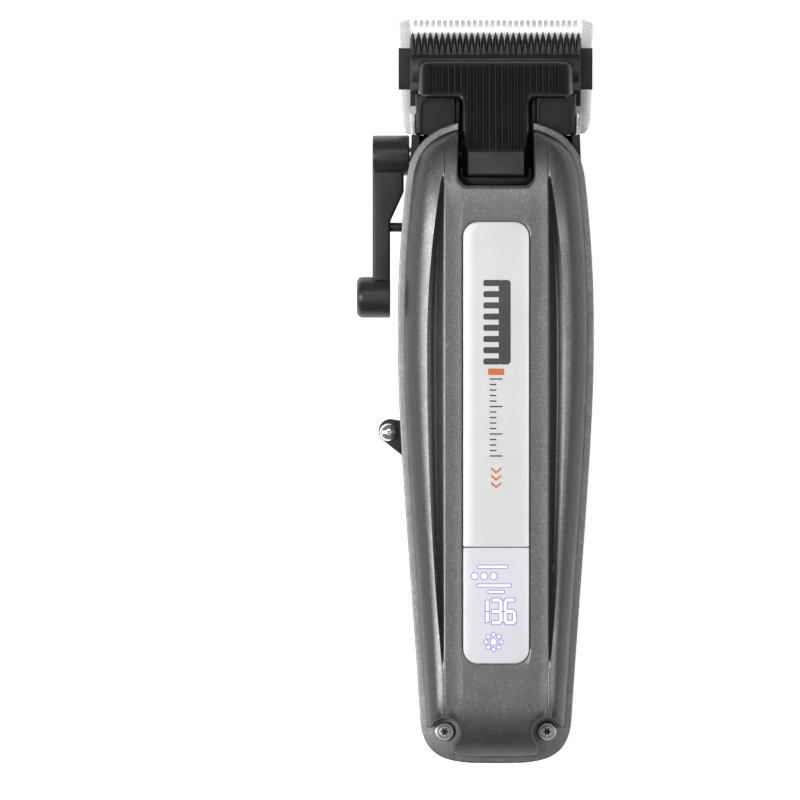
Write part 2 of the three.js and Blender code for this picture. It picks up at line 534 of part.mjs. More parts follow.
// A cap screw: the driving recess has `points` flutes.
function screw(axis, { head, high, shank, length, at, face, points = 6, up = 1 }) {
  const [headFrom, headTo] = [face, face + up * high].sort((a, b) => a - b);
  const [shankFrom, shankTo] = [face - up * length, face].sort((a, b) => a - b);
  const sink = [face + up * (high - 0.7), face + up * (high + 1)].sort((a, b) => a - b);
  let recess = bar(axis, head * 0.4, sink[0], sink[1], at, points);
  if (points > 4) recess = recess.add(bar(axis, head * 0.4, sink[0], sink[1], at, 3));
  return bar(axis, head, headFrom, headTo, at, 20)
    .subtract(recess)
    .add(bar(axis, shank, shankFrom, shankTo, at, 12));
}

// ---- lever and switch ----
function taperLever() {
  const centre = [LEVER.y, LEVER.z];
  const thumbAt = [LEVER.thumbY, LEVER.z];
  const plan = new THREE.Shape();
  plan.moveTo(LEVER.outX, LEVER.y);
  plan.lineTo(LEVER.outX, LEVER.thumbY);
  plan.lineTo(LEVER.stemX, LEVER.thumbY);
  plan.lineTo(LEVER.stemX, GUSSET.footY);
  plan.lineTo(GUSSET.inX, GUSSET.topY);
  plan.lineTo(GUSSET.inX, LEVER.y);
  const thumbEnd = LEVER.outX - LEVER.thumbOut;
  const thumbFace = thumbEnd + LEVER.chamfer;
  return prism(plan, LEVER.z - LEVER.stemHalf, LEVER.z + LEVER.stemHalf)
    .add(bar('x', LEVER.hub, LEVER.outX, LEVER.inX, centre, 28))
    .add(bar('x', LEVER.thumb, thumbFace, LEVER.stemX, thumbAt, 28))
    .add(bar('x', LEVER.thumb - LEVER.chamfer, thumbEnd, thumbFace, thumbAt, 28, LEVER.thumb))
    .subtract(bar('x', SHAFT.radius + THIN, SHAFT_OUT - FINE, 0, centre, 16))
    .subtract(bar('x', LEVER_SCREW.shank + FINE, -FAR, 0, centre, 12))
    .subtract(bar('x', LEVER_SCREW.head + FINE, -FAR, LEVER_SCREW_FACE, centre, 20));
}

function taperShaft() {
  const centre = [LEVER.y, LEVER.z];
  const discEnd = SHAFT.end + SHAFT.disc;
  return bar('x', SHAFT.radius, SHAFT_OUT, SHAFT.end, centre, 16)
    .add(bar('x', SHAFT.radius - FINE, SHAFT.end - 1, discEnd, centre, 16))
    .add(bar('x', SHAFT.pin, discEnd - 0.6, discEnd + SHAFT.pinLong + 0.6, [LEVER.y, PIN_Z], 12))
    .add(box(SHAFT.end + FINE, discEnd, LEVER.y - SHAFT.webHalf, LEVER.y + SHAFT.webHalf, LEVER.z, PIN_Z + 1));
}

function switchSlider() {
  const plan = new THREE.Shape();
  plan.moveTo(SWITCH.innerX, SWITCH.y + SWITCH.finFront);
  plan.lineTo(SWITCH.centreX, SWITCH.y + SWITCH.fin);
  plan.absarc(SWITCH.centreX, SWITCH.y, SWITCH.fin, Math.PI / 2, Math.PI * 1.25);
  plan.lineTo(SWITCH.innerX, SWITCH.y - SWITCH.finRear);
  return prism(plan, SWITCH.z - SWITCH.thick / 2, SWITCH.z + SWITCH.thick / 2, 10)
    .add(box(SWITCH.innerX - STEM.inset, STEM.inX, SWITCH.y - STEM.half, SWITCH.y + STEM.half,
      SWITCH.z - STEM.halfHigh, SWITCH.z + STEM.halfHigh));
}

function switchKnob() {
  const dome = new THREE.LatheGeometry(KNOB_PROFILE.map(([r, h]) => new THREE.Vector2(r, h)), 20);
  return solid(dome.rotateX(Math.PI / 2)
    .translate(SWITCH.centreX - KNOB.offX, SWITCH.y - KNOB.offY, SWITCH.z + SWITCH.thick / 2));
}

// ---- power and display ----
function chassis() {
  const { half, room } = CHASSIS;
  return box(-half, half, REAR.tailFlatY + 2, MOTOR.frontY - 1, WALL + GAP, MOTOR.z - CHASSIS.belowMotor)
    .subtract(bar('y', CELL.radius + room, -FAR * 2, CELL.frontY + CHASSIS.overlap, [0, CELL_Z], 28))
    .subtract(bar('y', MOTOR.radius + DAMPER.thick + room, CELL.frontY + 1, FAR, [0, MOTOR.z], 28));
}

function damperRing() {
  return bar('y', MOTOR.radius + DAMPER.thick, DAMPER.y0, DAMPER.y1, [0, MOTOR.z], 28)
    .subtract(bar('y', MOTOR.radius + THIN, -FAR, FAR, [0, MOTOR.z], 28));
}

function cellTab(y) {
  return box(-TAB.half, TAB.half, y, y + TAB.thick, CELL_Z - TAB.below, CELL_Z + TAB.above);
}

function mainBoard() {
  const top = BOARD_Z + BOARD.thick;
  const plate = box(-BOARD.half, BOARD.half, CELL.rearY + 2, CELL.frontY - 1, BOARD_Z, top);
  return CHIPS.reduce((all, { x, half, y0, y1, high }) => all
    .add(box(x - half, x + half, y0, y1, top - FINE, top + high)), plate);
}

function displayBoard() {
  const { boardHalf, boardOver, boardThick } = WINDOW;
  return box(-boardHalf, boardHalf, WINDOW_REAR - boardOver, WINDOW_FRONT + boardOver,
    LIGHT_Z - boardThick, LIGHT_Z);
}

function lightDiffuser() {
  const half = WINDOW.half - FINE;
  return box(-half, half, WINDOW_REAR + FINE, WINDOW_FRONT - FINE, LIGHT_Z, PLATE_Z - FINE);
}

function switchContact() {
  const { x0, x1, y0, y1, below, above } = CONTACT;
  return box(x0, x1, y0, y1, SWITCH.z - below, SWITCH.z + above);
}

function chargeSocket() {
  const front = TAIL_Y + PORT.socketIn;
  const back = front + PORT.depth;
  const [half, high, wall, inset] = [PORT.half, PORT.high / 2, PORT.wall, PORT.tongueInset];
  const outer = box(-half, half, front, back, PORT.z - high, PORT.z + high);
  const inner = box(-half + wall, half - wall, front - 1, back - 1,
    PORT.z - high + wall, PORT.z + high - wall);
  return outer.subtract(inner)
    .add(box(-half + inset, half - inset, front + 1, back - 0.5, PORT.z - wall, PORT.z + wall));
}

function portSurround() {
  const front = TAIL_Y + PORT.frameIn;
  const { frameX, frameZ, z } = PORT;
  const [half, high] = [PORT.half + FINE, PORT.high / 2 + FINE];
  return box(-frameX, frameX, front, front + PORT.frameLong, z - frameZ, z + frameZ)
    .subtract(box(-half, half, -FAR * 2, 0, z - high, z + high));
}

function plateShape(y0, y1, rearRound, headRound) {
  const half = PLATE.half;
  const shape = new THREE.Shape();
  shape.moveTo(-half + rearRound, y0);
  shape.lineTo(half - rearRound, y0);
  shape.absarc(half - rearRound, y0 + rearRound, rearRound, -Math.PI / 2, 0);
  shape.lineTo(half, y1 - headRound);
  shape.absarc(half - headRound, y1 - headRound, headRound, 0, Math.PI / 2);
  shape.lineTo(-half + headRound, y1);
  shape.absarc(-half + headRound, y1 - headRound, headRound, Math.PI / 2, Math.PI);
  shape.lineTo(-half, y0 + rearRound);
  shape.absarc(-half + rearRound, y0 + rearRound, rearRound, Math.PI, Math.PI * 1.5);
  return shape;
}

// A wire from the motor's end cap over the edge of the board: each point is [out, along, height].
function lead(side) {
  const path = [[0, 0.65, MOTOR.z + 5], [0.3, 0.3, MOTOR.z + 6.5], [1, -0.1, BOARD_Z + 1.6],
    [1.5, -1.7, BOARD_Z + 3.2], [2, -3.7, BOARD_Z + 2.4]];
  const points = path.map(([out, along, z]) => [side * (LEAD.x + out), CELL.frontY + along, z]);
  return wire(points, LEAD.radius, LEAD.steps, LEAD.sides);
}

// ---- the pieces ----
add('upper_cover', upperCover(), 'cover_grey');
add('rear_housing', rearHousing(), 'shell_black');
add('head_block', headBlock(), 'shell_black');
add('blade_cover', bladeCover(), 'shell_black');
add('fixed_blade', fixedBlade(), 'blade_steel');
add('moving_blade', movingBlade(), 'cutter_black');
add('taper_carriage', taperCarriage(), 'inner_grey');
add('cutter_yoke', cutterYoke(), 'inner_grey');
add('blade_spring', bladeSpring(), 'motor_steel');
add('motor_case', motorCase(), 'motor_steel');
add('motor_endcap', bar('y', MOTOR.capRadius, MOTOR.rearY - MOTOR.capLong, MOTOR.rearY, [0, MOTOR.z], 24),
  'inner_grey');
add('motor_rotor', rotor(), 'motor_steel');
add('cam_roller', camRoller(), 'nickel');
add('motor_bracket', motorBracket(), 'motor_steel');
add('motor_damper', damperRing(), 'damper_rubber');
add('battery_cell', bar('y', CELL.radius, CELL.rearY, CELL.frontY, [0, CELL_Z], 28), 'cell_wrap');
add('cell_tab_rear', cellTab(CELL.rearY - TAB.thick), 'nickel');
add('cell_tab_front', cellTab(CELL.frontY), 'nickel');
add('inner_chassis', chassis(), 'inner_grey');
add('main_board', mainBoard(), 'board_green');
add('switch_contact', switchContact(), 'inner_grey');
add('charge_socket', chargeSocket(), 'nickel');
add('port_surround', portSurround(), 'gloss_black');
add('display_board', displayBoard(), 'board_green');
add('light_diffuser', lightDiffuser(), 'diffuser_white');
add('face_plate', prism(plateShape(SEAM_Y + FINE, PLATE.topY, PLATE.seamCorner, PLATE.corner), PLATE_Z,
  PLATE_Z + PLATE.thick, 5), 'plate_silver');
add('display_window', prism(plateShape(PLATE.bottomY, SEAM_Y - FINE, PLATE.corner, PLATE.seamCorner), PLATE_Z,
  PLATE_Z + PLATE.thick, 5), 'window_clear');
add('taper_lever', taperLever(), 'gloss_black');
add('taper_shaft', taperShaft(), 'motor_steel');
add('detent_pin', bar('x', DETENT.radius, LEVER.stemX, DETENT.inX, [DETENT.y, LEVER.z], 14), 'gloss_black');
add('lever_screw', screw('x', { ...LEVER_SCREW, at: [LEVER.y, LEVER.z], face: LEVER_SCREW_FACE, up: -1 }),
  'motor_steel');
add('switch_slider', switchSlider(), 'gloss_black');
add('switch_knob', switchKnob(), 'chrome');

for (const [word, side] of [['left', -1], ['right', 1]]) {
  const coverAt = [side * SCREW.x, SCREW.y];
  const bladeAt = [side * BLADE_SCREW.x, BLADE_SCREW.y];
  const motorAt = [side * MOTOR_SCREW.x, MOTOR.z];
  add(`cover_screw_${word}`, screw('z', { ...SCREW, at: coverAt, face: FLANGE_Z }), 'motor_steel');
  add(`blade_screw_${word}`, screw('z', { ...BLADE_SCREW, at: bladeAt, face: SEAT_Z, up: -1 }), 'motor_steel');
  add(`motor_screw_${word}`, screw('y', { ...MOTOR_SCREW, at: motorAt, face: BRACKET_FRONT }), 'motor_steel');
  add(`motor_lead_${word}`, lead(side), side < 0 ? 'lead_black' : 'lead_red');
}

export default clipper;
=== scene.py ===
import json
import math

import bmesh
import bpy
import numpy as np
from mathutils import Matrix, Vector

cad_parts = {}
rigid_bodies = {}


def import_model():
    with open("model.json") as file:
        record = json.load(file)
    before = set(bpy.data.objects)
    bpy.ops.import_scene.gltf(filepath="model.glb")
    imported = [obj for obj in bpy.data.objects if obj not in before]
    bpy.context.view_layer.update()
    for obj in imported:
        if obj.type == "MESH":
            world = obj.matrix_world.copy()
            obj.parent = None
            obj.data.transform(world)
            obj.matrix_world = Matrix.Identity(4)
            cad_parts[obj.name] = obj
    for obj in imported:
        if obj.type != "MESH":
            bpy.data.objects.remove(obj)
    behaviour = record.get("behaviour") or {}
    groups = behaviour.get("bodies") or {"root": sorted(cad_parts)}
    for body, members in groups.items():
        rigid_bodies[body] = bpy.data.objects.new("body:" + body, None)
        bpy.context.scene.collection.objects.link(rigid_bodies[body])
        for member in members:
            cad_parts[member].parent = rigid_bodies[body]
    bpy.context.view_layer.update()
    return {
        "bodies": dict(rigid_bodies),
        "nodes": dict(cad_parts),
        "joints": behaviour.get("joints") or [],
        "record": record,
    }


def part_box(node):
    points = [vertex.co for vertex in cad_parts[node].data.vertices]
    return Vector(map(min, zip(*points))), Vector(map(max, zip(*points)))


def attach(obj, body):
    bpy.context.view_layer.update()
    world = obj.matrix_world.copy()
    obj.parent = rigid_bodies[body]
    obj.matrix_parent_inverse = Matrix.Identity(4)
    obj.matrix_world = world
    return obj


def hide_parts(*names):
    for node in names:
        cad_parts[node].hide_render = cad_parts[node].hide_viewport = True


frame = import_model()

MM = 0.001

# ---- sizes in millimetres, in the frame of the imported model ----


def corners(node):
    """The lowest and highest corner of a CAD node, in millimetres."""
    low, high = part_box(node)
    return np.array(low) / MM, np.array(high) / MM


COVER_LOW, COVER_HIGH = corners("upper_cover")
REAR_HIGH = corners("rear_housing")[1]
PLATE_LOW, PLATE_HIGH = corners("face_plate")
WINDOW_LOW, WINDOW_HIGH = corners("display_window")
FIXED_LOW, FIXED_HIGH = corners("fixed_blade")
CUTTER_LOW, CUTTER_HIGH = corners("moving_blade")
T_LOW, T_HIGH = corners("blade_cover")
BLOCK_LOW, BLOCK_HIGH = corners("head_block")
SLIDER_LOW, SLIDER_HIGH = corners("switch_slider")
SHAFT_LOW, SHAFT_HIGH = corners("taper_shaft")
PIN_HIGH = corners("detent_pin")[1]
PORT_LOW, PORT_HIGH = corners("port_surround")
KNOB_LOW, KNOB_HIGH = corners("switch_knob")

TAIL_Y = COVER_LOW[1]
WAIST_Y, WAIST_HALF = -77.0, 17.8
SHOULDER_Y, SHOULDER_HALF = 49.3, 21.0
HEAD_Y = 63.7
SPLIT_Z = COVER_LOW[2]
WALL = 1.8
FLANGE_Z = SPLIT_Z + WALL
FLANGE_WIDTH = 1.45
RISE = COVER_HIGH[2] - FLANGE_Z
TAIL_ROLL_Y, HEAD_ROLL_Y = -70.0, 38.0
PANEL_HALF, PANEL_SHARE, PANEL_DIP = 12.1, 0.74, 0.1
GROOVE = dict(middle=9.5, to_head=41.0, to_tail=74.0, width=3.5, least=0.6, depth=2.1, foot=0.54)
PLATE_GAP = 0.2
PLATE_CORNER = 3.4
PILLOW = ((0.25, 0.22), (0.8, 0.13), (1.5, 0.06), (2.2, 0.02), (3.0, 0.0))
SLOT_HALF, SLOT_Y, SLOT_CORNER = 8.9, 47.9, 2.5
SCREW_X, SCREW_Y = 12.0, -80.1
SCALLOP = 3.3
CROWN_SINK = 0.03
LUG_HALF = 20.1
TOOTH_ROOT_Y = 79.2
TOOTH_PITCH = 1.396
TEETH = 29
BAND_LOW_Y, BAND_HIGH_Y, BAND_STEP_Y = 70.8, 80.65, 66.9


# ---- mesh making ----
def finish_mesh(name, verts, faces, body, slot, smooth=35.0, node=None):
    """Makes an object from points in millimetres and rides it on a body."""
    mesh = bpy.data.meshes.new(name)
    mesh.from_pydata([tuple(v) for v in np.asarray(verts, float) * MM], [], [tuple(f) for f in faces])
    tidy = bmesh.new()
    tidy.from_mesh(mesh)
    bmesh.ops.remove_doubles(tidy, verts=tidy.verts, dist=1e-7)
    bmesh.ops.recalc_face_normals(tidy, faces=tidy.faces)
    tidy.to_mesh(mesh)
    tidy.free()
    piece = bpy.data.objects.new(name, mesh)
    bpy.context.scene.collection.objects.link(piece)
    return dress(piece, body, slot, smooth, node)


def dress(piece, body, slot, smooth=35.0, node=None):
    shade(piece, smooth)
    if body is None:
        return piece
    piece.data.materials.clear()
    piece.data.materials.append(MATERIALS[slot])
    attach(piece, body)
    if node:
        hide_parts(node)
    return piece


def shade(piece, angle):
    mesh = piece.data
    mesh.polygons.foreach_set("use_smooth", [True] * len(mesh.polygons))
    mesh.set_sharp_from_angle(angle=math.radians(angle))


def apply_boolean(piece, other, operation="DIFFERENCE"):
    """Cuts, joins or keeps the common part with another object, which is then removed."""
    step = piece.modifiers.new("cut", "BOOLEAN")
    step.object = other
    step.operation = operation
    step.solver = "EXACT"
    made = piece.evaluated_get(bpy.context.evaluated_depsgraph_get())
    mesh = bpy.data.meshes.new_from_object(made)
    piece.modifiers.clear()
    piece.data = mesh
    bpy.data.objects.remove(other)
    return piece


def ring_faces(rings, around, closed=True):
    faces = []
    for r in range(rings - 1):
        for i in range(around if closed else around - 1):
            j = (i + 1) % around
            faces.append((r * around + i, r * around + j, (r + 1) * around + j, (r + 1) * around + i))
    return faces


def inset_outline(outline, distance):
    """Moves each side of a closed outline inwards; the outline runs anticlockwise."""
    points = np.asarray(outline, float)
    before = points - np.roll(points, 1, 0)
    after = np.roll(points, -1, 0) - points
    before /= np.linalg.norm(before, axis=1)[:, None]
    after /= np.linalg.norm(after, axis=1)[:, None]
    inward_a = np.stack([-before[:, 1], before[:, 0]], 1)
    inward_b = np.stack([-after[:, 1], after[:, 0]], 1)
    bisector = inward_a + inward_b
    bisector /= np.maximum(np.linalg.norm(bisector, axis=1), 1e-9)[:, None]
    miter = 1 / np.maximum(np.sum(bisector * inward_a, axis=1), 0.45)
    return points + bisector * (distance * miter)[:, None]


def prism_mesh(outline, low, high, edge=0.3, steps=3, edge_low=None, pillow=()):
    """Points and faces of a prism along Z whose end edges are rounded by `edge`.

    `pillow` adds (inset, fall) steps that make the top bow down towards its sides.
    """
    edge_low = edge if edge_low is None else edge_low
    fall = pillow[0][1] if pillow else 0
    rings = []
    for radius, level, way in ((edge_low, low, 1), (edge, high - fall, -1)):
        turns = [math.pi / 2 * k / steps for k in range(steps + 1)] if radius else [0]
        part = [(radius * (1 - math.sin(t)), level + way * radius * (1 - math.cos(t))) for t in turns]
        rings.append(part if way > 0 else part[::-1])
    levels = rings[0] + rings[1]
    verts = []
    for inset, z in levels:
        shape = inset_outline(outline, inset) if inset else np.asarray(outline, float)
        verts += [(x, y, z) for x, y in shape]
    half = max(abs(x) for x, _ in outline)
    for inset, drop in pillow[1:]:
        verts += [(x * (1 - inset / half), y, high - drop) for x, y in inset_outline(outline, edge)]
    levels += pillow[1:]
    count = len(outline)
    faces = ring_faces(len(levels), count)
    faces.append(tuple(range(count))[::-1])
    faces.append(tuple(range((len(levels) - 1) * count, len(levels) * count)))
    return np.array(verts), faces


TURNS = {
    "z": np.eye(3),
    "x": np.array([[0, 0, 1], [1, 0, 0], [0, 1, 0]], float),
    "y": np.array([[1, 0, 0], [0, 0, 1], [0, 1, 0]], float),
}


def prism(name, outline, low, high, body, slot, axis="z", node=None, smooth=35.0, **edges):
    """A rounded prism; its outline is given in the two other axes, in order."""
    verts, faces = prism_mesh(outline, low, high, **edges)
    return finish_mesh(name, verts @ TURNS[axis].T, faces, body, slot, smooth, node)


def cutter(outline, low, high, axis="z"):
    """A plain prism to cut with or to keep the inside of."""
    verts, faces = prism_mesh(outline, low, high, edge=0)
    return finish_mesh("cutter", verts @ TURNS[axis].T, faces, None, None)


def lathe(name, profile, axis, centre, body, slot, sides=64, node=None, smooth=35.0):
    """Turns a profile of (radius, height) pairs about an axis through `centre`."""
    verts = []
    for radius, height in profile:
        for k in range(sides):
            turn = 2 * math.pi * k / sides
            verts.append((max(radius, 1e-4) * math.cos(turn), max(radius, 1e-4) * math.sin(turn), height))
    faces = ring_faces(len(profile), sides)
    faces.append(tuple(range(sides))[::-1])
    faces.append(tuple(range((len(profile) - 1) * sides, len(profile) * sides)))
    verts = np.array(verts) @ TURNS[axis].T + np.array(centre, float)
    return finish_mesh(name, verts, faces, body, slot, smooth, node)


def arc(cx, cy, radius, start, end, steps=8):
    """Points on an arc from start to end, in quarter turns."""
    turns = [math.pi / 2 * (start + (end - start) * k / steps) for k in range(steps + 1)]
    return [(cx + radius * math.cos(t), cy + radius * math.sin(t)) for t in turns]


def round_rect(x0, x1, y0, y1, radius, steps=8):
    return (arc(x1 - radius, y0 + radius, radius, -1, 0, steps)
            + arc(x1 - radius, y1 - radius, radius, 0, 1, steps)
            + arc(x0 + radius, y1 - radius, radius, 1, 2, steps)
            + arc(x0 + radius, y0 + radius, radius, 2, 3, steps))


def rounded_profile(radius, low, high, edge, steps=4):
    """A rod's half outline with rounded ends, for lathe()."""
    rise = [math.pi / 2 * k / steps for k in range(steps + 1)]
    foot = [(radius - edge + edge * math.sin(t), low + edge * (1 - math.cos(t))) for t in rise]
    top = [(radius - edge + edge * math.cos(t), high - edge * (1 - math.sin(t))) for t in rise]
    return [(0, low), *foot, *top, (0, high)]


# ---- materials ----
MATERIALS = {}


class Nodes:
    """A small helper that adds shader nodes to one material."""

    def __init__(self, name):
        self.material = bpy.data.materials.new(name)
        self.material.use_nodes = True
        self.tree = self.material.node_tree
        self.shader = self.tree.nodes["Principled BSDF"]
        self.place = self.add("ShaderNodeTexCoord").outputs["Object"]

    def add(self, kind, **values):
        node = self.tree.nodes.new(kind)
        for key, value in values.items():
            setattr(node, key, value)
        return node

    def link(self, source, target):
        self.tree.links.new(source, target)

    def stretched(self, scale):
        mapping = self.add("ShaderNodeMapping")
        mapping.inputs["Scale"].default_value = scale
        self.link(self.place, mapping.inputs["Vector"])
        return mapping.outputs["Vector"]

    def noise(self, size_mm, detail=3.0, stretch=(1, 1, 1), rough=0.55):
        """Noise whose features are about size_mm across."""
        node = self.add("ShaderNodeTexNoise")
        node.inputs["Scale"].default_value = 1 / (size_mm * MM)
        node.inputs["Detail"].default_value = detail
        node.inputs["Roughness"].default_value = rough
        self.link(self.stretched(stretch), node.inputs["Vector"])
        return node.outputs["Fac"]

    def ramp(self, source, stops):
        node = self.add("ShaderNodeValToRGB")
        ramp = node.color_ramp
        while len(ramp.elements) < len(stops):
            ramp.elements.new(0.5)
        for element, (position, colour) in zip(ramp.elements, stops):
            element.position = position
            element.color = (*colour, 1)
        self.link(source, node.inputs["Fac"])
        return node.outputs["Color"]

    def span(self, source, low, high, start=0.3, end=0.7):
        node = self.add("ShaderNodeMapRange")
        node.inputs["From Min"].default_value = start
        node.inputs["From Max"].default_value = end
        node.inputs["To Min"].default_value = low
        node.inputs["To Max"].default_value = high
        self.link(source, node.inputs["Value"])
        return node.outputs["Result"]

    def mix(self, amount, first, second, mode="MIX"):
        node = self.add("ShaderNodeMix", data_type="RGBA", blend_type=mode)
        for socket, value in ((node.inputs[0], amount), (node.inputs[6], first), (node.inputs[7], second)):
            if isinstance(value, bpy.types.NodeSocket):
                self.link(value, socket)
            else:
                socket.default_value = value if isinstance(value, float) else (*value, 1)
        return node.outputs[2]

    def bump(self, source, depth_mm, strength=1.0, under=None):
        node = self.add("ShaderNodeBump")
        node.inputs["Strength"].default_value = strength
        node.inputs["Distance"].default_value = depth_mm * MM
        self.link(source, node.inputs["Height"])
        if under:
            self.link(under, node.inputs["Normal"])
        return node.outputs["Normal"]

    def edge_wear(self, start=0.54, end=0.62):
        geometry = self.add("ShaderNodeNewGeometry")
        return self.span(geometry.outputs["Pointiness"], 0.0, 1.0, start, end)


def grey(level, tint=(1.0, 1.0, 1.0)):
    return tuple(level * t for t in tint)


def shift(colour, factor):
    return tuple(min(1.0, c * factor) for c in colour)


def surface(slot, colour, metallic, rough, grain_mm=0.25, vary=0.12, bump_mm=0.004, stretch=(1, 1, 1),
            rough_vary=0.06, wear=0.0, coat=0.0):
    """A finish with fine colour grain, blotchy roughness, a little relief and optional worn edges."""
    nodes = Nodes(slot)
    grain = nodes.noise(grain_mm, 2.0, stretch)
    cloud = nodes.noise(14.0, 4.0)
    base = nodes.ramp(grain, [(0.3, shift(colour, 1 - vary)), (0.7, shift(colour, 1 + vary))])
    cloudy = nodes.ramp(cloud, [(0.3, grey(0.93)), (0.7, grey(1.0))])
    base = nodes.mix(1.0, base, cloudy, "MULTIPLY")
    if wear:
        scratched = nodes.span(nodes.noise(3.0, 5.0), 0.0, wear, 0.45, 0.65)
        amount = nodes.add("ShaderNodeMath", operation="MULTIPLY")
        nodes.link(nodes.edge_wear(), amount.inputs[0])
        nodes.link(scratched, amount.inputs[1])
        base = nodes.mix(amount.outputs[0], base, shift(colour, 1.9))
    nodes.link(base, nodes.shader.inputs["Base Color"])
    smudge = nodes.noise(6.0, 5.0)
    nodes.link(nodes.span(smudge, rough - rough_vary, rough + rough_vary), nodes.shader.inputs["Roughness"])
    nodes.shader.inputs["Metallic"].default_value = metallic
    nodes.shader.inputs["Coat Weight"].default_value = coat
    nodes.shader.inputs["Coat Roughness"].default_value = 0.15
    nodes.link(nodes.bump(grain, bump_mm), nodes.shader.inputs["Normal"])
    MATERIALS[slot] = nodes.material
    return nodes


def flaked_cover(slot, shaded):
    """Gunmetal paint: sand-like relief and bright flakes over mid-grey. With `shaded`, a darker tone is painted
    on by how steep the surface is, which stands in for shading and is not a real finish."""
    nodes = Nodes(slot)
    sand = nodes.noise(0.32, 3.0, rough=0.7)
    base = nodes.ramp(sand, [(0.32, grey(0.145)), (0.5, grey(0.2)), (0.7, grey(0.26))])
    flakes = nodes.add("ShaderNodeTexVoronoi")
    flakes.inputs["Scale"].default_value = 1 / (0.42 * MM)
    nodes.link(nodes.place, flakes.inputs["Vector"])
    sparkle = nodes.span(flakes.outputs["Color"], 0.0, 0.35, 0.72, 0.95)
    base = nodes.mix(sparkle, base, grey(0.42, (1.0, 1.0, 1.02)))
    worn = nodes.add("ShaderNodeMath", operation="MULTIPLY")
    nodes.link(nodes.edge_wear(0.53, 0.6), worn.inputs[0])
    nodes.link(nodes.span(nodes.noise(2.2, 5.0), 0.15, 0.6, 0.4, 0.65), worn.inputs[1])
    base = nodes.mix(worn.outputs[0], base, grey(0.5))
    if shaded:
        split = nodes.add("ShaderNodeSeparateXYZ")
        nodes.link(nodes.add("ShaderNodeNewGeometry").outputs["Normal"], split.inputs[0])
        tone = nodes.ramp(split.outputs["Z"], [(0.0, grey(0.14)), (0.35, grey(0.16)), (0.68, grey(0.4)),
                                               (0.93, grey(1.0))])
        base = nodes.mix(1.0, base, tone, "MULTIPLY")
    nodes.link(base, nodes.shader.inputs["Base Color"])
    nodes.link(nodes.span(nodes.noise(4.0, 5.0), 0.34, 0.42), nodes.shader.inputs["Roughness"])
    nodes.shader.inputs["Metallic"].default_value = 0.85
    nodes.link(nodes.bump(sand, 0.01, 0.7), nodes.shader.inputs["Normal"])
    MATERIALS[slot] = nodes.material


def glowing(slot, colour, strength, rough=0.3):
    nodes = Nodes(slot)
    cloud = nodes.noise(5.0, 3.0)
    tone = nodes.ramp(cloud, [(0.3, shift(colour, 0.94)), (0.7, colour)])
    nodes.link(tone, nodes.shader.inputs["Base Color"])
    nodes.link(tone, nodes.shader.inputs["Emission Color"])
    nodes.shader.inputs["Emission Strength"].default_value = strength
    nodes.link(nodes.span(nodes.noise(3.0), rough - 0.05, rough + 0.05), nodes.shader.inputs["Roughness"])
    MATERIALS[slot] = nodes.material


def make_materials():
    flaked_cover("cover_grey", False)
    flaked_cover("cover_crown", True)
    surface("shell_black", grey(0.007), 0.0, 0.34, grain_mm=0.16, vary=0.25, bump_mm=0.003, wear=0.3)
    surface("gloss_black", grey(0.024), 0.0, 0.36, grain_mm=0.3, vary=0.15, bump_mm=0.0015, wear=0.12)
    surface("inner_grey", grey(0.045), 0.0, 0.55, grain_mm=0.2, vary=0.15, bump_mm=0.004)
    surface("blade_steel", grey(0.84), 0.4, 0.26, grain_mm=0.09, vary=0.04, bump_mm=0.0015,
            stretch=(0.05, 1, 1), rough_vary=0.03)
    surface("cutter_black", grey(0.028), 0.5, 0.34, grain_mm=0.12, vary=0.2, bump_mm=0.002,
            stretch=(0.1, 1, 1), wear=0.5)
    surface("motor_steel", grey(0.5), 1.0, 0.3, grain_mm=0.12, vary=0.08, bump_mm=0.002)
    surface("screw_steel", grey(0.5), 0.8, 0.36, grain_mm=0.1, vary=0.06, bump_mm=0.001, rough_vary=0.02)
    surface("chrome", grey(0.86), 0.9, 0.17, grain_mm=0.5, vary=0.02, bump_mm=0.0004, rough_vary=0.03)
    surface("plate_silver", grey(0.9), 0.2, 0.33, grain_mm=0.07, vary=0.02, bump_mm=0.0006,
            stretch=(1, 0.02, 1), rough_vary=0.015)
    surface("window_clear", grey(0.93, (0.97, 0.96, 1.03)), 0.0, 0.22, grain_mm=0.5, vary=0.02,
            bump_mm=0.0003, rough_vary=0.01, coat=0.4)
    surface("board_green", (0.015, 0.11, 0.05), 0.0, 0.4, grain_mm=0.6, vary=0.2)
    surface("cell_wrap", (0.03, 0.16, 0.4), 0.0, 0.35, grain_mm=0.8, vary=0.08, coat=0.3)
    surface("nickel", grey(0.6, (1.0, 0.97, 0.88)), 1.0, 0.25)
    surface("damper_rubber", grey(0.02), 0.0, 0.8, grain_mm=0.2, vary=0.2, bump_mm=0.01)
    surface("lead_red", (0.45, 0.02, 0.02), 0.0, 0.45)
    surface("lead_black", grey(0.015), 0.0, 0.45)
    surface("emblem_dark", grey(0.085), 0.2, 0.35, grain_mm=0.1, vary=0.06, bump_mm=0.0006)
    surface("accent_orange", (0.75, 0.2, 0.06), 0.0, 0.4, grain_mm=0.1, vary=0.06, bump_mm=0.0006)
    glowing("diffuser_white", (0.9, 0.9, 0.97), 0.2, 0.5)
    # The two lavender finishes below are plain colour, a painted glow round the lit figures; only digit_core
    # gives off light.
    surface("digit_glow", (0.36, 0.33, 0.8), 0.0, 0.4, grain_mm=0.4, vary=0.03, bump_mm=0.0002)
    surface("digit_painted_halo", (0.62, 0.6, 0.88), 0.0, 0.4, grain_mm=0.4, vary=0.03, bump_mm=0.0002)
    glowing("digit_core", (0.97, 0.97, 1.0), 0.6)


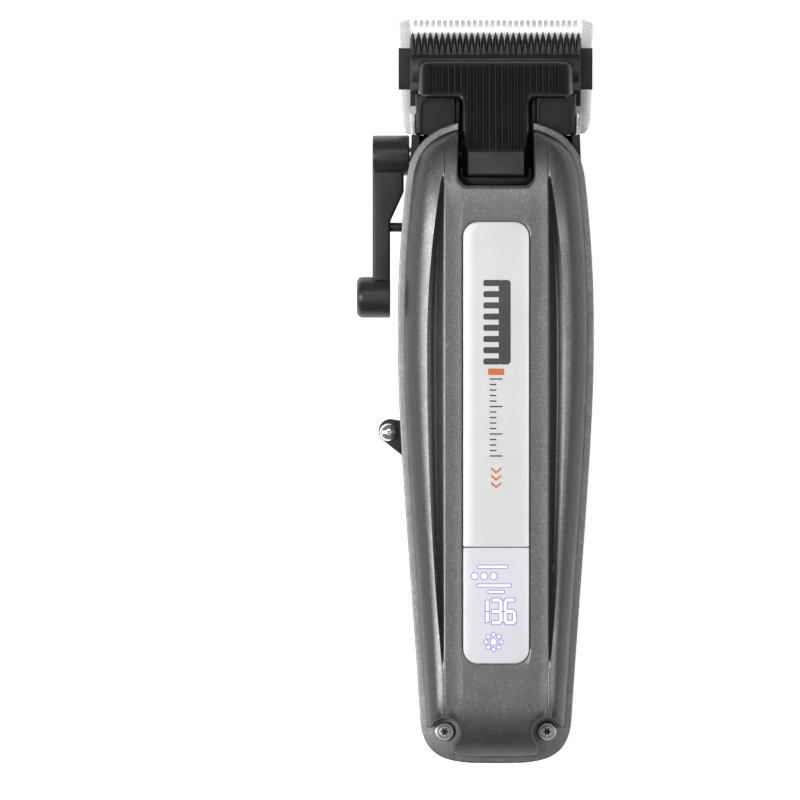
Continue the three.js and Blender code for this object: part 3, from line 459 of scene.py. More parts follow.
# ---- the body outline ----
def bezier(p0, p1, p2, p3, t):
    t = np.asarray(t)[:, None]
    p0, p1, p2, p3 = (np.array(p, float) for p in (p0, p1, p2, p3))
    points = (1 - t) ** 3 * p0 + 3 * (1 - t) ** 2 * t * p1 + 3 * (1 - t) * t * t * p2 + t ** 3 * p3
    along = 3 * (1 - t) ** 2 * (p1 - p0) + 6 * (1 - t) * t * (p2 - p1) + 3 * t * t * (p3 - p2)
    return points, along / np.linalg.norm(along, axis=1)[:, None]


LEAN_WAIST, LEAN_SHOULDER = 0.0636, 0.114
SIDE_CURVES = [
    ((0, TAIL_Y), (9.6, TAIL_Y), (WAIST_HALF - LEAN_WAIST * 10.7, WAIST_Y - 10.7), (WAIST_HALF, WAIST_Y)),
    ((WAIST_HALF, WAIST_Y), (WAIST_HALF + LEAN_WAIST * 60, WAIST_Y + 60),
     (SHOULDER_HALF + LEAN_SHOULDER * 40, SHOULDER_Y - 40), (SHOULDER_HALF, SHOULDER_Y)),
    ((SHOULDER_HALF, SHOULDER_Y), (SHOULDER_HALF - LEAN_SHOULDER * 6.8, SHOULDER_Y + 6.8), (16.9, HEAD_Y),
     (0, HEAD_Y)),
]
FINE_STEPS = (46, 150, 46)
COARSE_STEPS = (14, 30, 14)


def side_points(inset, steps=FINE_STEPS):
    """Right-hand half of the outline, tail to head, drawn in by `inset`."""
    found = []
    for k, (curve, count) in enumerate(zip(SIDE_CURVES, steps)):
        t = np.linspace(0, 1, count + 1)[(1 if k else 0):]
        points, along = bezier(*curve, t)
        found.append(points + inset * np.stack([-along[:, 1], along[:, 0]], 1))
    return np.concatenate(found)


def whole_outline(inset, steps=FINE_STEPS):
    side = side_points(inset, steps)
    side = side[side[:, 0] > 0.05]
    tail = [(0, TAIL_Y + inset)]
    head = [(0, HEAD_Y - inset)]
    return [*tail, *map(tuple, side), *head, *[(-x, y) for x, y in side[::-1]]]


def rows(inset, least, steps=FINE_STEPS):
    side = side_points(inset, steps)
    return side[side[:, 0] >= least]


# ---- front cover ----
def ease(s, power):
    return np.maximum(0, 1 - np.clip(s, 0, 1) ** power) ** (1 / power)


def rise_at(y):
    tail_end = TAIL_Y + FLANGE_WIDTH
    head_end = HEAD_Y - FLANGE_WIDTH
    tail = ease((TAIL_ROLL_Y - y) / (TAIL_ROLL_Y - tail_end), 2.2)
    head = ease((y - HEAD_ROLL_Y) / (head_end - HEAD_ROLL_Y), 2.0)
    return RISE * tail * head


def box_distance(x, y, x0, x1, y0, y1, radius):
    """Signed distance to a rounded rectangle, negative inside it."""
    cx, cy = (x0 + x1) / 2, (y0 + y1) / 2
    dx = np.abs(x - cx) - (x1 - x0) / 2 + radius
    dy = np.abs(y - cy) - (y1 - y0) / 2 + radius
    outside = np.hypot(np.maximum(dx, 0), np.maximum(dy, 0))
    return outside + np.minimum(np.maximum(dx, dy), 0) - radius


def edge_drop(distance, radius):
    """How far a surface falls within `radius` of an edge that is rounded over."""
    inside = np.clip(radius - distance, 0, radius)
    return radius - np.sqrt(np.maximum(radius * radius - inside * inside, 0))


def scallop_distance(x, y):
    first = np.hypot(np.abs(x) - SCREW_X, y - SCREW_Y) - SCALLOP
    second = np.hypot(np.abs(x) - SCREW_X - 3.4, y - SCREW_Y + 4.6) - SCALLOP - 2.2
    blend = np.clip(0.5 + 0.5 * (second - first) / 1.2, 0, 1)
    return second * (1 - blend) + first * blend - 1.2 * blend * (1 - blend)


def groove_fade(y):
    along = (y - GROOVE["middle"]) / np.where(y > GROOVE["middle"], GROOVE["to_head"], GROOVE["to_tail"])
    return np.maximum(0, 1 - along * along)


def groove_place(half, y):
    """The panel's half width beside the groove, and how wide the groove is there."""
    panel = np.minimum(PANEL_HALF, PANEL_SHARE * half)
    width = np.minimum(GROOVE["width"] * groove_fade(y) + GROOVE["least"], (half - panel) / 2)
    return panel, width


def groove_fall(x, y, panel, width):
    depth = GROOVE["depth"] * np.sqrt(groove_fade(y))
    s = (np.abs(x) - panel) / width
    inner, outer = s / GROOVE["foot"], (1 - s) / (1 - GROOVE["foot"])
    k = 0.16
    h = np.clip(0.5 + 0.5 * (outer - inner) / k, 0, 1)
    shape = outer * (1 - h) + inner * h - k * h * (1 - h)
    return depth * np.clip(shape, 0, 1)


def crown_height(x, y, half):
    """Height of the cover's raised body at a point whose row has that half width."""
    panel, width = groove_place(half, y)
    away = np.abs(x)
    z = rise_at(y) * ease((away - panel) / (half - panel), 2.2)
    plate_half = PLATE_HIGH[0]
    across = np.clip((away - plate_half) / np.maximum(panel - plate_half, 0.5), 0, 1)
    z -= PANEL_DIP * np.sin(math.pi * across) * np.clip(rise_at(y) / RISE, 0, 1)
    z -= groove_fall(x, y, panel, width)
    z -= edge_drop(np.abs(away - panel), 0.25) * 0.4
    z -= 1.2 * edge_drop(scallop_distance(x, y), 1.0)
    z -= edge_drop(box_distance(x, y, -SLOT_HALF, SLOT_HALF, SLOT_Y, 120, SLOT_CORNER), 0.55)
    z -= edge_drop(box_distance(x, y, PLATE_LOW[0] - PLATE_GAP, PLATE_HIGH[0] + PLATE_GAP,
                                WINDOW_LOW[1] - PLATE_GAP, PLATE_HIGH[1] + PLATE_GAP,
                                PLATE_CORNER + 0.2), 0.22)
    return FLANGE_Z + np.maximum(z, -CROWN_SINK)


def crown_columns(half, y):
    """Where the cover's surface is sampled across a row: closest at the edges and along the groove."""
    plate_half = PLATE_HIGH[0] + PLATE_GAP
    panel, width = groove_place(half, y)
    inner = min(plate_half, panel * 0.8)
    foot = panel + width * GROOVE["foot"]
    far = panel + width
    across = [np.linspace(0, inner - 0.3, 9)[:-1], np.linspace(inner - 0.3, inner + 0.3, 5)[:-1],
              np.linspace(inner + 0.3, panel - 0.25, 12)[:-1],
              panel - 0.25 * (1 - np.linspace(0, 1, 4))[:-1],
              np.linspace(panel, foot, 9)[:-1], np.linspace(foot, far, 9)[:-1],
              far + (half - far) * (1 - np.cos(np.linspace(0, math.pi / 2, 12)))[:-1] * 0.5,
              half - (half - far) * 0.5 * (1 - np.sin(np.linspace(0, math.pi / 2, 22)))]
    right = np.concatenate(across)
    return np.concatenate([-right[:0:-1], right])


def crown_solid(name, inset, drop, floor, body, slot, steps=FINE_STEPS, least=1.2):
    verts = []
    sections = rows(inset, least, steps)
    for half, y in sections:
        x = crown_columns(half, y)
        z = crown_height(x, np.full_like(x, y), half) - drop
        verts += [(-half, y, floor), *zip(x, np.full_like(x, y), z), (half, y, floor)]
    around = len(verts) // len(sections)
    faces = ring_faces(len(sections), around)
    faces.append(tuple(range(around))[::-1])
    faces.append(tuple(range(len(verts) - around, len(verts))))
    return finish_mesh(name, verts, faces, body, slot)


def scallop_outline(side):
    """Edge of the low land round a cover screw, traced outwards from the screw."""
    centre = np.array([SCREW_X + 1.7, SCREW_Y - 2.3])
    reach = np.linspace(0, 9, 181)
    outline = []
    for turn in np.linspace(0, 2 * math.pi, 73)[:-1]:
        x, y = centre[0] + reach * math.cos(turn), centre[1] + reach * math.sin(turn)
        outside = reach[np.argmax(scallop_distance(x, y) > 0)]
        outline.append((centre[0] + outside * math.cos(turn), centre[1] + outside * math.sin(turn)))
    return [(side * x, y) for x, y in outline][::side]


def slot_outline():
    return round_rect(-SLOT_HALF, SLOT_HALF, SLOT_Y, 120, SLOT_CORNER)


def front_cover():
    crown = crown_solid("cover_crown", FLANGE_WIDTH, 0, SPLIT_Z + 0.6, None, None)
    hollow = crown_solid("hollow", FLANGE_WIDTH + WALL, WALL, SPLIT_Z - 1, None, None, COARSE_STEPS, 3)
    recess = round_rect(PLATE_LOW[0] - PLATE_GAP, PLATE_HIGH[0] + PLATE_GAP, WINDOW_LOW[1] - PLATE_GAP,
                        PLATE_HIGH[1] + PLATE_GAP, PLATE_CORNER + PLATE_GAP)
    light_hole = round_rect(-6.5, 6.5, WINDOW_LOW[1] + 2, WINDOW_HIGH[1] - 1.6, 1)
    for tool in (hollow, cutter(slot_outline(), 10, 60), cutter(recess, PLATE_LOW[2], 60),
                 cutter(light_hole, 10, 60), cutter(scallop_outline(-1), 10, 60),
                 cutter(scallop_outline(1), 10, 60)):
        apply_boolean(crown, tool)
    dress(crown, "housing", "cover_crown", 38, "upper_cover")
    verts, faces = prism_mesh(whole_outline(0), SPLIT_Z, FLANGE_Z, edge=0.35, edge_low=0.2)
    flange = finish_mesh("cover_flange", verts, faces, None, None)
    opening = [(x, max(y, SCREW_Y + 8)) for x, y in whole_outline(FLANGE_WIDTH + WALL, COARSE_STEPS)]
    opening = [p for p, q in zip(opening, opening[1:] + opening[:1]) if p != q and p[1] > SCREW_Y + 8]
    for tool in (cutter(opening, 10, 60), cutter(slot_outline(), 10, 60)):
        apply_boolean(flange, tool)
    dress(flange, "housing", "cover_grey", 38)


# ---- rear housing ----
def belly_at(y):
    tail = 10.0 * (np.maximum(-58.0 - y, 0) / 28) ** 2
    head = 8.5 * (np.maximum(y - 35.0, 0) / 30) ** 1.5
    return tail + head


def rear_solid(name, inset, drop, top, head_end, steps, around=72):
    section = rows(inset, 1.2, steps)
    section = section[section[:, 1] < SHOULDER_Y]
    head_half = 19.8 - drop
    last_half, last_y = section[-1]
    reach = np.linspace(0, 1, 12)[1:]
    tail_part = [(last_half + (head_half - last_half) * min(1, s * 1.6), last_y + (head_end - last_y) * s)
                 for s in reach]
    sections = [*map(tuple, section), *tail_part]
    verts = []
    turn = np.linspace(0, math.pi, around)
    for half, y in sections:
        floor = float(belly_at(y))
        depth = SPLIT_Z - floor + 1.8 - drop
        x = -half * np.sign(np.cos(turn)) * np.abs(np.cos(turn)) ** (2 / 2.6)
        z = np.maximum(floor + drop, SPLIT_Z - depth * np.sin(turn) ** (2 / 2.6))
        verts += [(-half, y, top), *zip(x, np.full_like(x, y), z), (half, y, top)]
    count = around + 2
    faces = ring_faces(len(sections), count)
    faces.append(tuple(range(count))[::-1])
    faces.append(tuple(range(len(verts) - count, len(verts))))
    return finish_mesh(name, verts, faces, None, None)


def rectangle(x0, x1, y0, y1):
    return [(x0, y0), (x1, y0), (x1, y1), (x0, y1)]


def rear_housing():
    shell = rear_solid("rear_shell", 0.8, 0, SPLIT_Z, REAR_HIGH[1], (24, 60, 8))
    hollow = rear_solid("hollow", 0.8 + WALL, WALL, 60, 60.5, (12, 24, 8), 40)
    lever_y = (SHAFT_LOW[1] + SHAFT_HIGH[1]) / 2
    slot_y0, slot_y1 = -11.9, -3.3
    port = round_rect(PORT_LOW[0], PORT_HIGH[0], PORT_LOW[2], PORT_HIGH[2], 1.5)
    for tool in (hollow, cutter(rectangle(-60, 60, 60, 120), FIXED_LOW[2], 60),
                 cutter(arc(lever_y, 14, 2.1, 0, 4, 32)[:-1], -60, 0, "x"),
                 cutter(rectangle(slot_y0, slot_y1, 12.3, 15.7), -60, -10, "x"),
                 cutter(port, -120, PORT_HIGH[1] - 0.3, "y")):
        apply_boolean(shell, tool)
    dress(shell, "housing", "shell_black", 32, "rear_housing")
    for side in (-1, 1):
        x0, x1 = sorted((side * 19.0, side * 19.8))
        prism(f"head_cheek_{side}", rectangle(x0, x1, 53.5, REAR_HIGH[1]), 13.5, 20.4, "housing", "motor_steel",
              edge=0.15, steps=2)


# ---- head ----
def head_block():
    low, high = BLOCK_LOW, BLOCK_HIGH
    well, top = 9.4, 20.8
    side_plan = [(well, 52.3), (16, 52.3), (16, 60.1), (18.8, 60.1), (18.8, high[1]), (well, high[1])]
    lever_y = (SHAFT_LOW[1] + SHAFT_HIGH[1]) / 2
    for side in (-1, 1):
        plan = [(side * x, y) for x, y in side_plan][::side]
        block = prism(f"head_block_{side}", plan, low[2], top, None, None, edge=0.5)
        if side < 0:
            apply_boolean(block, cutter(arc(lever_y, 14, 2.1, 0, 4, 32)[:-1], -60, 0, "x"))
        pocket = round_rect(*sorted((side * (well + 0.7), side * 17.6)), 45, 68.4, 1.9)
        apply_boolean(block, cutter(pocket, top - 1.1, 60))
        dress(block, "housing", "shell_black", 35, "head_block" if side < 0 else None)
        # Black sheets beside the tongue close the see-through gap into the well: painted shade standing in for
        # the dark depth of the well.
        shade_sheet_plan = rectangle(*sorted((side * 8.4, side * (well + 0.1))), 52.4, 68.6)
        prism(f"well_shade_sheet_{side}", shade_sheet_plan, 15.6, 19.6, "housing", "shell_black", edge=0.2)
    bridge = prism("head_bridge", rectangle(-8.6, 8.6, low[1], 52.3), low[2], high[2], None, None, edge=0.4)
    apply_boolean(bridge, cutter(arc(0, 18.5, 5.5, 0, 4, 48)[:-1], 0, 60, "y"))
    dress(bridge, "housing", "shell_black")


def t_distance(x, y):
    """Signed distance to the T-shaped plan of the blade cover, negative inside."""
    bar = box_distance(x, y, T_LOW[0], T_HIGH[0], 68.6, T_HIGH[1], 1.8)
    tongue = box_distance(x, y, -7.8, 7.8, T_LOW[1], 74, 1.4)
    k = 1.6
    h = np.clip(0.5 + 0.5 * (tongue - bar) / k, 0, 1)
    return tongue * (1 - h) + bar * h - k * h * (1 - h)


def t_outline():
    """The T as one outline, with rounded ends, rounded tongue corners and filleted inner corners."""
    half, bar_y, top = T_HIGH[0], 68.6, T_HIGH[1]
    tongue, end, round_end, fillet = 7.8, T_LOW[1], 1.8, 1.3
    right = (arc(tongue - 1.4, end + 1.4, 1.4, -1, 0) + arc(tongue + fillet, bar_y - fillet, fillet, 2, 1)
             + arc(half - round_end, bar_y + round_end, round_end, -1, 0)
             + arc(half - round_end, top - round_end, round_end, 0, 1))
    return right + [(-x, y) for x, y in right[::-1]]


def blade_cover():
    """Sloping cover: lengthwise ribs, rounded edges and a plain end where the tongue enters the slot."""
    front_top, bend_y, bend_top = 18.3, 56.0, 30.0
    slope = (bend_top - front_top) / (T_HIGH[1] - bend_y)
    x = np.linspace(T_LOW[0], T_HIGH[0], 421)
    y = np.linspace(T_LOW[1], T_HIGH[1], 113)
    gx, gy = np.meshgrid(x, y)
    sloped = front_top + (T_HIGH[1] - gy) * slope
    ending = bend_top + 1.5 * (bend_y - gy) / (bend_y - T_LOW[1])
    top = np.minimum(sloped, ending)
    distance = -t_distance(gx, gy)
    pitch, depth = 0.74, 0.34
    ribs = depth * (0.5 - 0.5 * np.cos(2 * math.pi * gx / pitch)) ** 0.7
    inside = np.clip((distance - 0.9) / 0.25, 0, 1) * np.clip((gy - bend_y) / 0.3, 0, 1)
    inside *= np.clip((15.2 - np.abs(gx + 0.6)) / 0.2, 0, 1)
    top = top - ribs * inside
    ends = np.clip((np.abs(gx) - 15.4) / (T_HIGH[0] - 15.4), 0, 1)
    top -= 1.6 * ends ** 2
    top -= 1.3 * edge_drop(distance, 1.1)
    lower_end = np.clip((bend_y + 2 - gy) / 2, 0, 1)
    top -= 1.7 * lower_end * np.clip((np.abs(gx) - 6.5) / 1.2, 0, 1)
    under = np.minimum(sloped, ending) - 1.9
    count = gx.size
    upper = np.stack([gx, gy, top], -1).reshape(-1, 3)
    lower = np.stack([gx, gy, np.minimum(under, top - 0.3)], -1).reshape(-1, 3)
    wide, long = len(x), len(y)
    faces = []
    for j in range(long - 1):
        for i in range(wide - 1):
            a = j * wide + i
            faces.append((a, a + 1, a + wide + 1, a + wide))
            faces.append(tuple(count + v for v in (a + wide, a + wide + 1, a + 1, a)))
    border = ([i for i in range(wide)] + [j * wide + wide - 1 for j in range(1, long)]
              + [(long - 1) * wide + i for i in range(wide - 2, -1, -1)]
              + [j * wide for j in range(long - 2, 0, -1)])
    for a, b in zip(border, border[1:] + border[:1]):
        faces.append((b, a, a + count, b + count))
    sheet = finish_mesh("blade_cover_top", np.concatenate([upper, lower]), faces, None, None)
    outline = cutter(t_outline(), 0, 60)
    apply_boolean(sheet, outline, "INTERSECT")
    dress(sheet, "housing", "shell_black", 50, "blade_cover")
    for side in (-1, 1):
        x0, x1 = sorted((side * 9.8, side * 17.2))
        prism(f"blade_cover_pad_{side}", rectangle(x0, x1, 68.9, 70), 20.85, 21.3, "housing", "shell_black",
              edge=0.2)


def tooth_row(name, count, sections, body, slot, node=None):
    """A row of separate teeth in one mesh; each section is (y, half below, half above, z below, z above)."""
    verts, faces = [], []
    for k in range(count):
        centre = (k - (count - 1) / 2) * TOOTH_PITCH
        start = len(verts)
        for y, below, above, z0, z1 in sections:
            verts += [(centre - below, y, z0), (centre + below, y, z0), (centre + above, y, z1),
                      (centre - above, y, z1)]
        faces += [tuple(start + v for v in face) for face in ring_faces(len(sections), 4)]
        faces.append(tuple(start + v for v in (3, 2, 1, 0)))
        faces.append(tuple(len(verts) - 4 + v for v in (0, 1, 2, 3)))
    return finish_mesh(name, verts, faces, body, slot, 20, node)


def fixed_blade():
    low, high = FIXED_LOW, FIXED_HIGH
    half = high[0]
    z0, z1 = low[2], high[2]
    plan = round_rect(-LUG_HALF + 0.1, LUG_HALF - 0.1, low[1], TOOTH_ROOT_Y, 0.4, 3)
    prism("fixed_blade_plate", plan, z0, z1, "housing", "blade_steel", edge=0.12, steps=2, node="fixed_blade")
    tooth_row("fixed_blade_teeth", TEETH - 1, [
        (TOOTH_ROOT_Y - 0.5, 0.6, 0.56, z0, z1 - 0.02), (83.5, 0.58, 0.54, z0, z1 - 0.05),
        (86.4, 0.56, 0.5, z0, z1 - 0.45), (87.1, 0.52, 0.42, z0, z1 - 0.8),
        (high[1], 0.38, 0.26, z0 + 0.2, z1 - 1.2),
    ], "housing", "blade_steel")
    for side in (-1, 1):
        strip = [(18.8, low[1] + 0.5), (18.8, low[1])]
        strip += [(half - 0.4 - 2.3 * (1 - math.sin(t)), low[1] + 5.2 * (1 - math.cos(t)))
                  for t in np.linspace(0, math.pi / 2, 12)]
        strip += [(half - 0.25, 71), (half - 0.2, 78), (half - 0.05, 83)]
        strip += arc(half - 1.1, high[1] - 1.6, 1.1, 0, 0.9, 6) + [(half - 1.7, high[1] - 0.1)]
        strip += [(LUG_HALF + 0.2, high[1]), (LUG_HALF, high[1] - 1.5), (LUG_HALF - 0.35, 83),
                  (LUG_HALF - 0.25, 79), (18.8, 78)]
        outline = [(side * x, y) for x, y in strip][::side]
        prism(f"fixed_blade_lug_{side}", outline, z0, z1 + 0.06, "housing", "blade_steel", edge=0.28, steps=4)
        line = [(18.5, low[1] + 0.6), (18.75, low[1] + 0.6), (18.75, 65.6), (18.5, 65.6)]
        prism(f"blade_rail_{side}", [(side * x, y) for x, y in line][::side], z1 - 0.2, z1 + 0.9, "housing",
              "blade_steel", edge=0.08, steps=2)
    # Black layers on the blade's top: a band stepped round the lugs, with three small ribs, and a sheet over the
    # middle under the moving blade.
    edge_x, step_x, foot_y = half - 0.12, 18.2, TOOTH_ROOT_Y - 0.1
    band = [(LUG_HALF, BAND_STEP_Y), (LUG_HALF, BAND_LOW_Y), (edge_x, BAND_LOW_Y), (edge_x, BAND_HIGH_Y),
            (LUG_HALF - 0.4, BAND_HIGH_Y), (LUG_HALF - 0.4, foot_y)]
    band = [(-x, y) for x, y in band] + [(x, y) for x, y in band[::-1]]
    prism("blade_black_band", band[::-1], z1 - 0.3, z1 + 0.07, "housing", "cutter_black", edge=0.04, steps=1)
    middle = rectangle(-step_x, step_x, low[1] + 0.3, BAND_STEP_Y + 0.1)
    prism("blade_black_middle", middle, z1 - 0.3, z1 + 0.065, "housing", "cutter_black", edge=0)
    for side in (-1, 1):
        for k in range(3):
            y = BAND_LOW_Y + 0.45 + 0.55 * k
            x0, x1 = sorted((side * (LUG_HALF + 1.45), side * (edge_x - 0.1)))
            prism(f"blade_band_rib_{side}_{k}", rectangle(x0, x1, y, y + 0.22), z1, z1 + 0.22, "housing",
                  "cutter_black", edge=0.06, steps=1)


def moving_blade():
    low, high = CUTTER_LOW, CUTTER_HIGH
    z0, plate_top = low[2], low[2] + 1.9
    plan = round_rect(low[0], high[0], low[1], TOOTH_ROOT_Y, 0.9, 4)
    prism("moving_blade_plate", plan, z0, plate_top - 0.25, "cutter", "cutter_black", edge=0.2,
          node="moving_blade")
    tooth_row("moving_blade_teeth", TEETH, [
        (TOOTH_ROOT_Y - 1.2, 0.68, 0.6, z0, plate_top), (TOOTH_ROOT_Y, 0.68, 0.56, z0, plate_top),
        (80.6, 0.67, 0.36, z0, plate_top - 0.22), (81.8, 0.65, 0.15, z0, plate_top - 0.48),
        (82.6, 0.6, 0.04, z0, plate_top - 0.7), (83.5, 0.36, 0.03, z0, plate_top - 1.05),
        (high[1], 0.06, 0.02, z0, plate_top - 1.5)], "cutter", "cutter_black")
    ledge = [(72.4, plate_top - 0.3), (TOOTH_ROOT_Y - 0.1, plate_top - 0.3), (TOOTH_ROOT_Y - 0.15, plate_top),
             (TOOTH_ROOT_Y - 0.5, plate_top + 0.25), (TOOTH_ROOT_Y - 1.3, high[2]), (74.5, high[2])]
    prism("moving_blade_ledge", ledge, low[0] + 0.5, high[0] - 0.5, "cutter", "cutter_black", axis="x", edge=0.1)


# ---- lever, switch, screws ----
def taper_lever():
    y, z = (SHAFT_LOW[1] + SHAFT_HIGH[1]) / 2, 14.0
    out_x, in_x, stem_x, thumb_y = -29.0, -20.3, -24.8, 21.9
    hub_radius, thumb_radius, thumb_x = 4.75, 4.85, -32.7
    gusset_x, gusset_top, gusset_foot = -21.6, 46.7, 39.7
    hub = lathe("taper_hub", rounded_profile(hub_radius, out_x, in_x, 0.45), "x", (0, y, z), None, None, 96)
    apply_boolean(hub, cutter(arc(y, z, 2.05, 0, 4, 32)[:-1], out_x + 1.5, 0, "x"))
    apply_boolean(hub, cutter(arc(y, z, 1.3, 0, 4, 24)[:-1], -60, 0, "x"))
    apply_boolean(hub, cutter(arc(y, z, 2.3, 0, 4, 36)[:-1], -60, out_x + 0.9, "x"))
    dress(hub, "lever", "gloss_black", 32, "taper_lever")
    stem = [(out_x, thumb_y), (stem_x, thumb_y), (stem_x, gusset_foot), (gusset_x, gusset_top), (gusset_x, y),
            (out_x, y)]
    prism("taper_stem", stem, z - 2.5, z + 2.5, "lever", "gloss_black", edge=0.7, steps=5)
    chamfer = 1.4
    thumb = [(0, thumb_x), (thumb_radius - chamfer - 0.3, thumb_x)]
    thumb += [(thumb_radius - chamfer * (1 - math.sin(t)), thumb_x + chamfer * (1 - math.cos(t)))
              for t in np.linspace(0.15, math.pi / 2, 7)]
    thumb += [(thumb_radius, stem_x - 0.25), (thumb_radius - 0.25, stem_x), (0, stem_x)]
    lathe("taper_thumb", thumb, "x", (0, thumb_y, z), "lever", "gloss_black", 96)
    lathe("detent_pin_round", rounded_profile(1.1, stem_x - 0.3, PIN_HIGH[0], 0.25), "x", (0, 38.4, z), "lever",
          "gloss_black", 40, "detent_pin")


def power_switch():
    low, high = SLIDER_LOW, SLIDER_HIGH
    centre_x, y, radius, inner_x = -24.7, -9.6, 2.87, -21.9
    fin = [(inner_x, y - 5.9), (inner_x, y + 2.4), (centre_x, y + radius)]
    fin += arc(centre_x, y, radius, 1, 2.5, 18)[1:]
    prism("switch_fin", fin, low[2], high[2], "power_slider", "gloss_black", edge=0.7, steps=5,
          node="switch_slider")
    prism("switch_stem", rectangle(inner_x - 1, high[0], y - 2, y + 2), 12.6, 15.4, "power_slider", "gloss_black",
          edge=0.15)
    middle = (KNOB_LOW + KNOB_HIGH) / 2
    rise = KNOB_HIGH[2] - KNOB_LOW[2]
    dome = [(0, KNOB_LOW[2]), (2.1, KNOB_LOW[2])]
    dome += [(2.1 * math.cos(t), KNOB_LOW[2] + 0.25 + (rise - 0.25) * math.sin(t))
             for t in np.linspace(0, math.pi / 2, 14)]
    lathe("switch_dome", dome, "z", (middle[0], middle[1], 0), "power_slider", "chrome", 64, "switch_knob")


def star(radius, inner, points=6, steps=4):
    """Outline of a six-lobed driving recess."""
    outline = []
    for k in range(points * steps * 2):
        turn = math.pi * k / (points * steps)
        lobe = 0.5 + 0.5 * math.cos(points * turn)
        outline.append((inner + (radius - inner) * lobe, turn))
    return [(r * math.cos(t), r * math.sin(t)) for r, t in outline]


def circle(x, y, radius, sides=48):
    return arc(x, y, radius, 0, 4, sides)[:-1]


def cover_screws():
    for word, side in (("left", -1), ("right", 1)):
        low, high = corners(f"cover_screw_{word}")
        x, top = side * SCREW_X, high[2]
        head = prism(f"cover_screw_head_{word}", circle(x, SCREW_Y, 2.28, 64), top - 1.38, top, None, None,
                     edge=0.28)
        apply_boolean(head, cutter(circle(x, SCREW_Y, 1.56), top - 0.5, 60))
        dress(head, "housing", "screw_steel", 30, f"cover_screw_{word}")
        boss = prism(f"cover_screw_boss_{word}", circle(x, SCREW_Y, 1.4, 64), top - 0.6, top - 0.08, None, None,
                     edge=0.14)
        recess = [(x + u, SCREW_Y + v) for u, v in star(0.98, 0.56)]
        apply_boolean(boss, cutter(recess, top - 1, 60))
        dress(boss, "housing", "screw_steel", 30)
        # A black disc at the bottom of the star recess: painted shade that makes the recess read dark.
        prism(f"cover_screw_recess_shade_{word}", circle(x, SCREW_Y, 1.1, 24), top - 0.6, top - 0.45, "housing",
              "cutter_black", edge=0)
        prism(f"cover_screw_shank_{word}", circle(x, SCREW_Y, 1.1, 24), low[2], top - 1.3, "housing",
              "motor_steel", edge=0.1)


# ---- face plate and display ----
def plate_outline(y0, y1, rear_round, head_round):
    half = PLATE_HIGH[0]
    return (arc(half - rear_round, y0 + rear_round, rear_round, -1, 0)
            + arc(half - head_round, y1 - head_round, head_round, 0, 1)
            + arc(-half + head_round, y1 - head_round, head_round, 1, 2)
            + arc(-half + rear_round, y0 + rear_round, rear_round, 2, 3))


def mark(name, outline, slot, height=0.03, lift=0.0):
    """A thin printed or lit shape on top of the face plate."""
    top = PLATE_HIGH[2] + lift
    return prism(name, outline, top - 0.1, top + height, "housing", slot, edge=0, smooth=30)


def face_plate():
    prism("face_plate_panel", plate_outline(PLATE_LOW[1], PLATE_HIGH[1], 0.3, PLATE_CORNER), PLATE_LOW[2],
          PLATE_HIGH[2], "housing", "plate_silver", edge=0.25, steps=4, pillow=PILLOW, node="face_plate")
    spine_x0, spine_x1, tooth_x = 1.1, 3.4, -3.0
    y0, y1, teeth = 6.0, 25.8, 8
    pitch = (y1 - y0) / (teeth - 0.45)
    mark("emblem_spine", round_rect(spine_x0 - 0.5, spine_x1, y0, y1, 0.9), "emblem_dark")
    for k in range(teeth):
        y = y0 + pitch * k
        mark(f"emblem_tooth_{k}", round_rect(tooth_x, spine_x0, y, y + pitch * 0.55, 0.45), "emblem_dark", 0.028)
    mark("accent_bar", round_rect(-1.9, 1.9, 3.55, 5.05, 0.15, 3), "accent_orange")
    ticks = 15
    for k in range(ticks):
        reach = 1.5 if k % 5 == 0 or k == ticks - 1 else 0.8
        y = 2.6 - 18.0 * k / (ticks - 1)
        mark(f"scale_tick_{k}", round_rect(-1.55, -1.55 + 2 * reach, y - 0.16, y + 0.16, 0.1, 3), "emblem_dark")
    for k in range(3):
        y = -18.0 - 1.7 * k
        chevron = [(-1.2, y), (0, y - 1.0), (1.2, y), (1.2, y - 0.55), (0, y - 1.55), (-1.2, y - 0.55)][::-1]
        mark(f"accent_chevron_{k}", chevron, "accent_orange")


def lit(name, shape, order="a"):
    """A lit shape with painted glow round it: two lavender rings of plain colour stand in for the light's halo;
    each ring sits a little higher than the one outside it.
    """
    step = 0.0008 * (ord(order[0]) % 8)
    mark(f"{name}_painted_halo", [tuple(p) for p in inset_outline(shape, -0.34)], "digit_painted_halo", 0.012 + step)
    mark(f"{name}_glow", [tuple(p) for p in inset_outline(shape, -0.16)], "digit_glow", 0.024 + step)
    mark(f"{name}_core", shape, "digit_core", 0.036 + step)


SEGMENTS = {"1": "bc", "3": "abcdg", "6": "acdefg"}


def digit(name, character, x, y, wide, high, thick):
    """A seven-segment figure whose lower left corner is (x, y)."""
    middle = y + high / 2
    places = {
        "a": (x, y + high, 1), "g": (x, middle, 1), "d": (x, y, 1),
        "b": (x + wide, middle, 0), "c": (x + wide, y, 0), "f": (x, middle, 0), "e": (x, y, 0),
    }
    for segment in SEGMENTS[character]:
        sx, sy, level = places[segment]
        gap = 0.16
        if level:
            shape = [(sx + gap, sy - thick / 2), (sx + wide - gap, sy - thick / 2),
                     (sx + wide - gap, sy + thick / 2), (sx + gap, sy + thick / 2)]
        else:
            shape = [(sx - thick / 2, sy + gap), (sx + thick / 2, sy + gap),
                     (sx + thick / 2, sy + high / 2 - gap), (sx - thick / 2, sy + high / 2 - gap)]
        lit(f"{name}_{segment}", shape, segment)


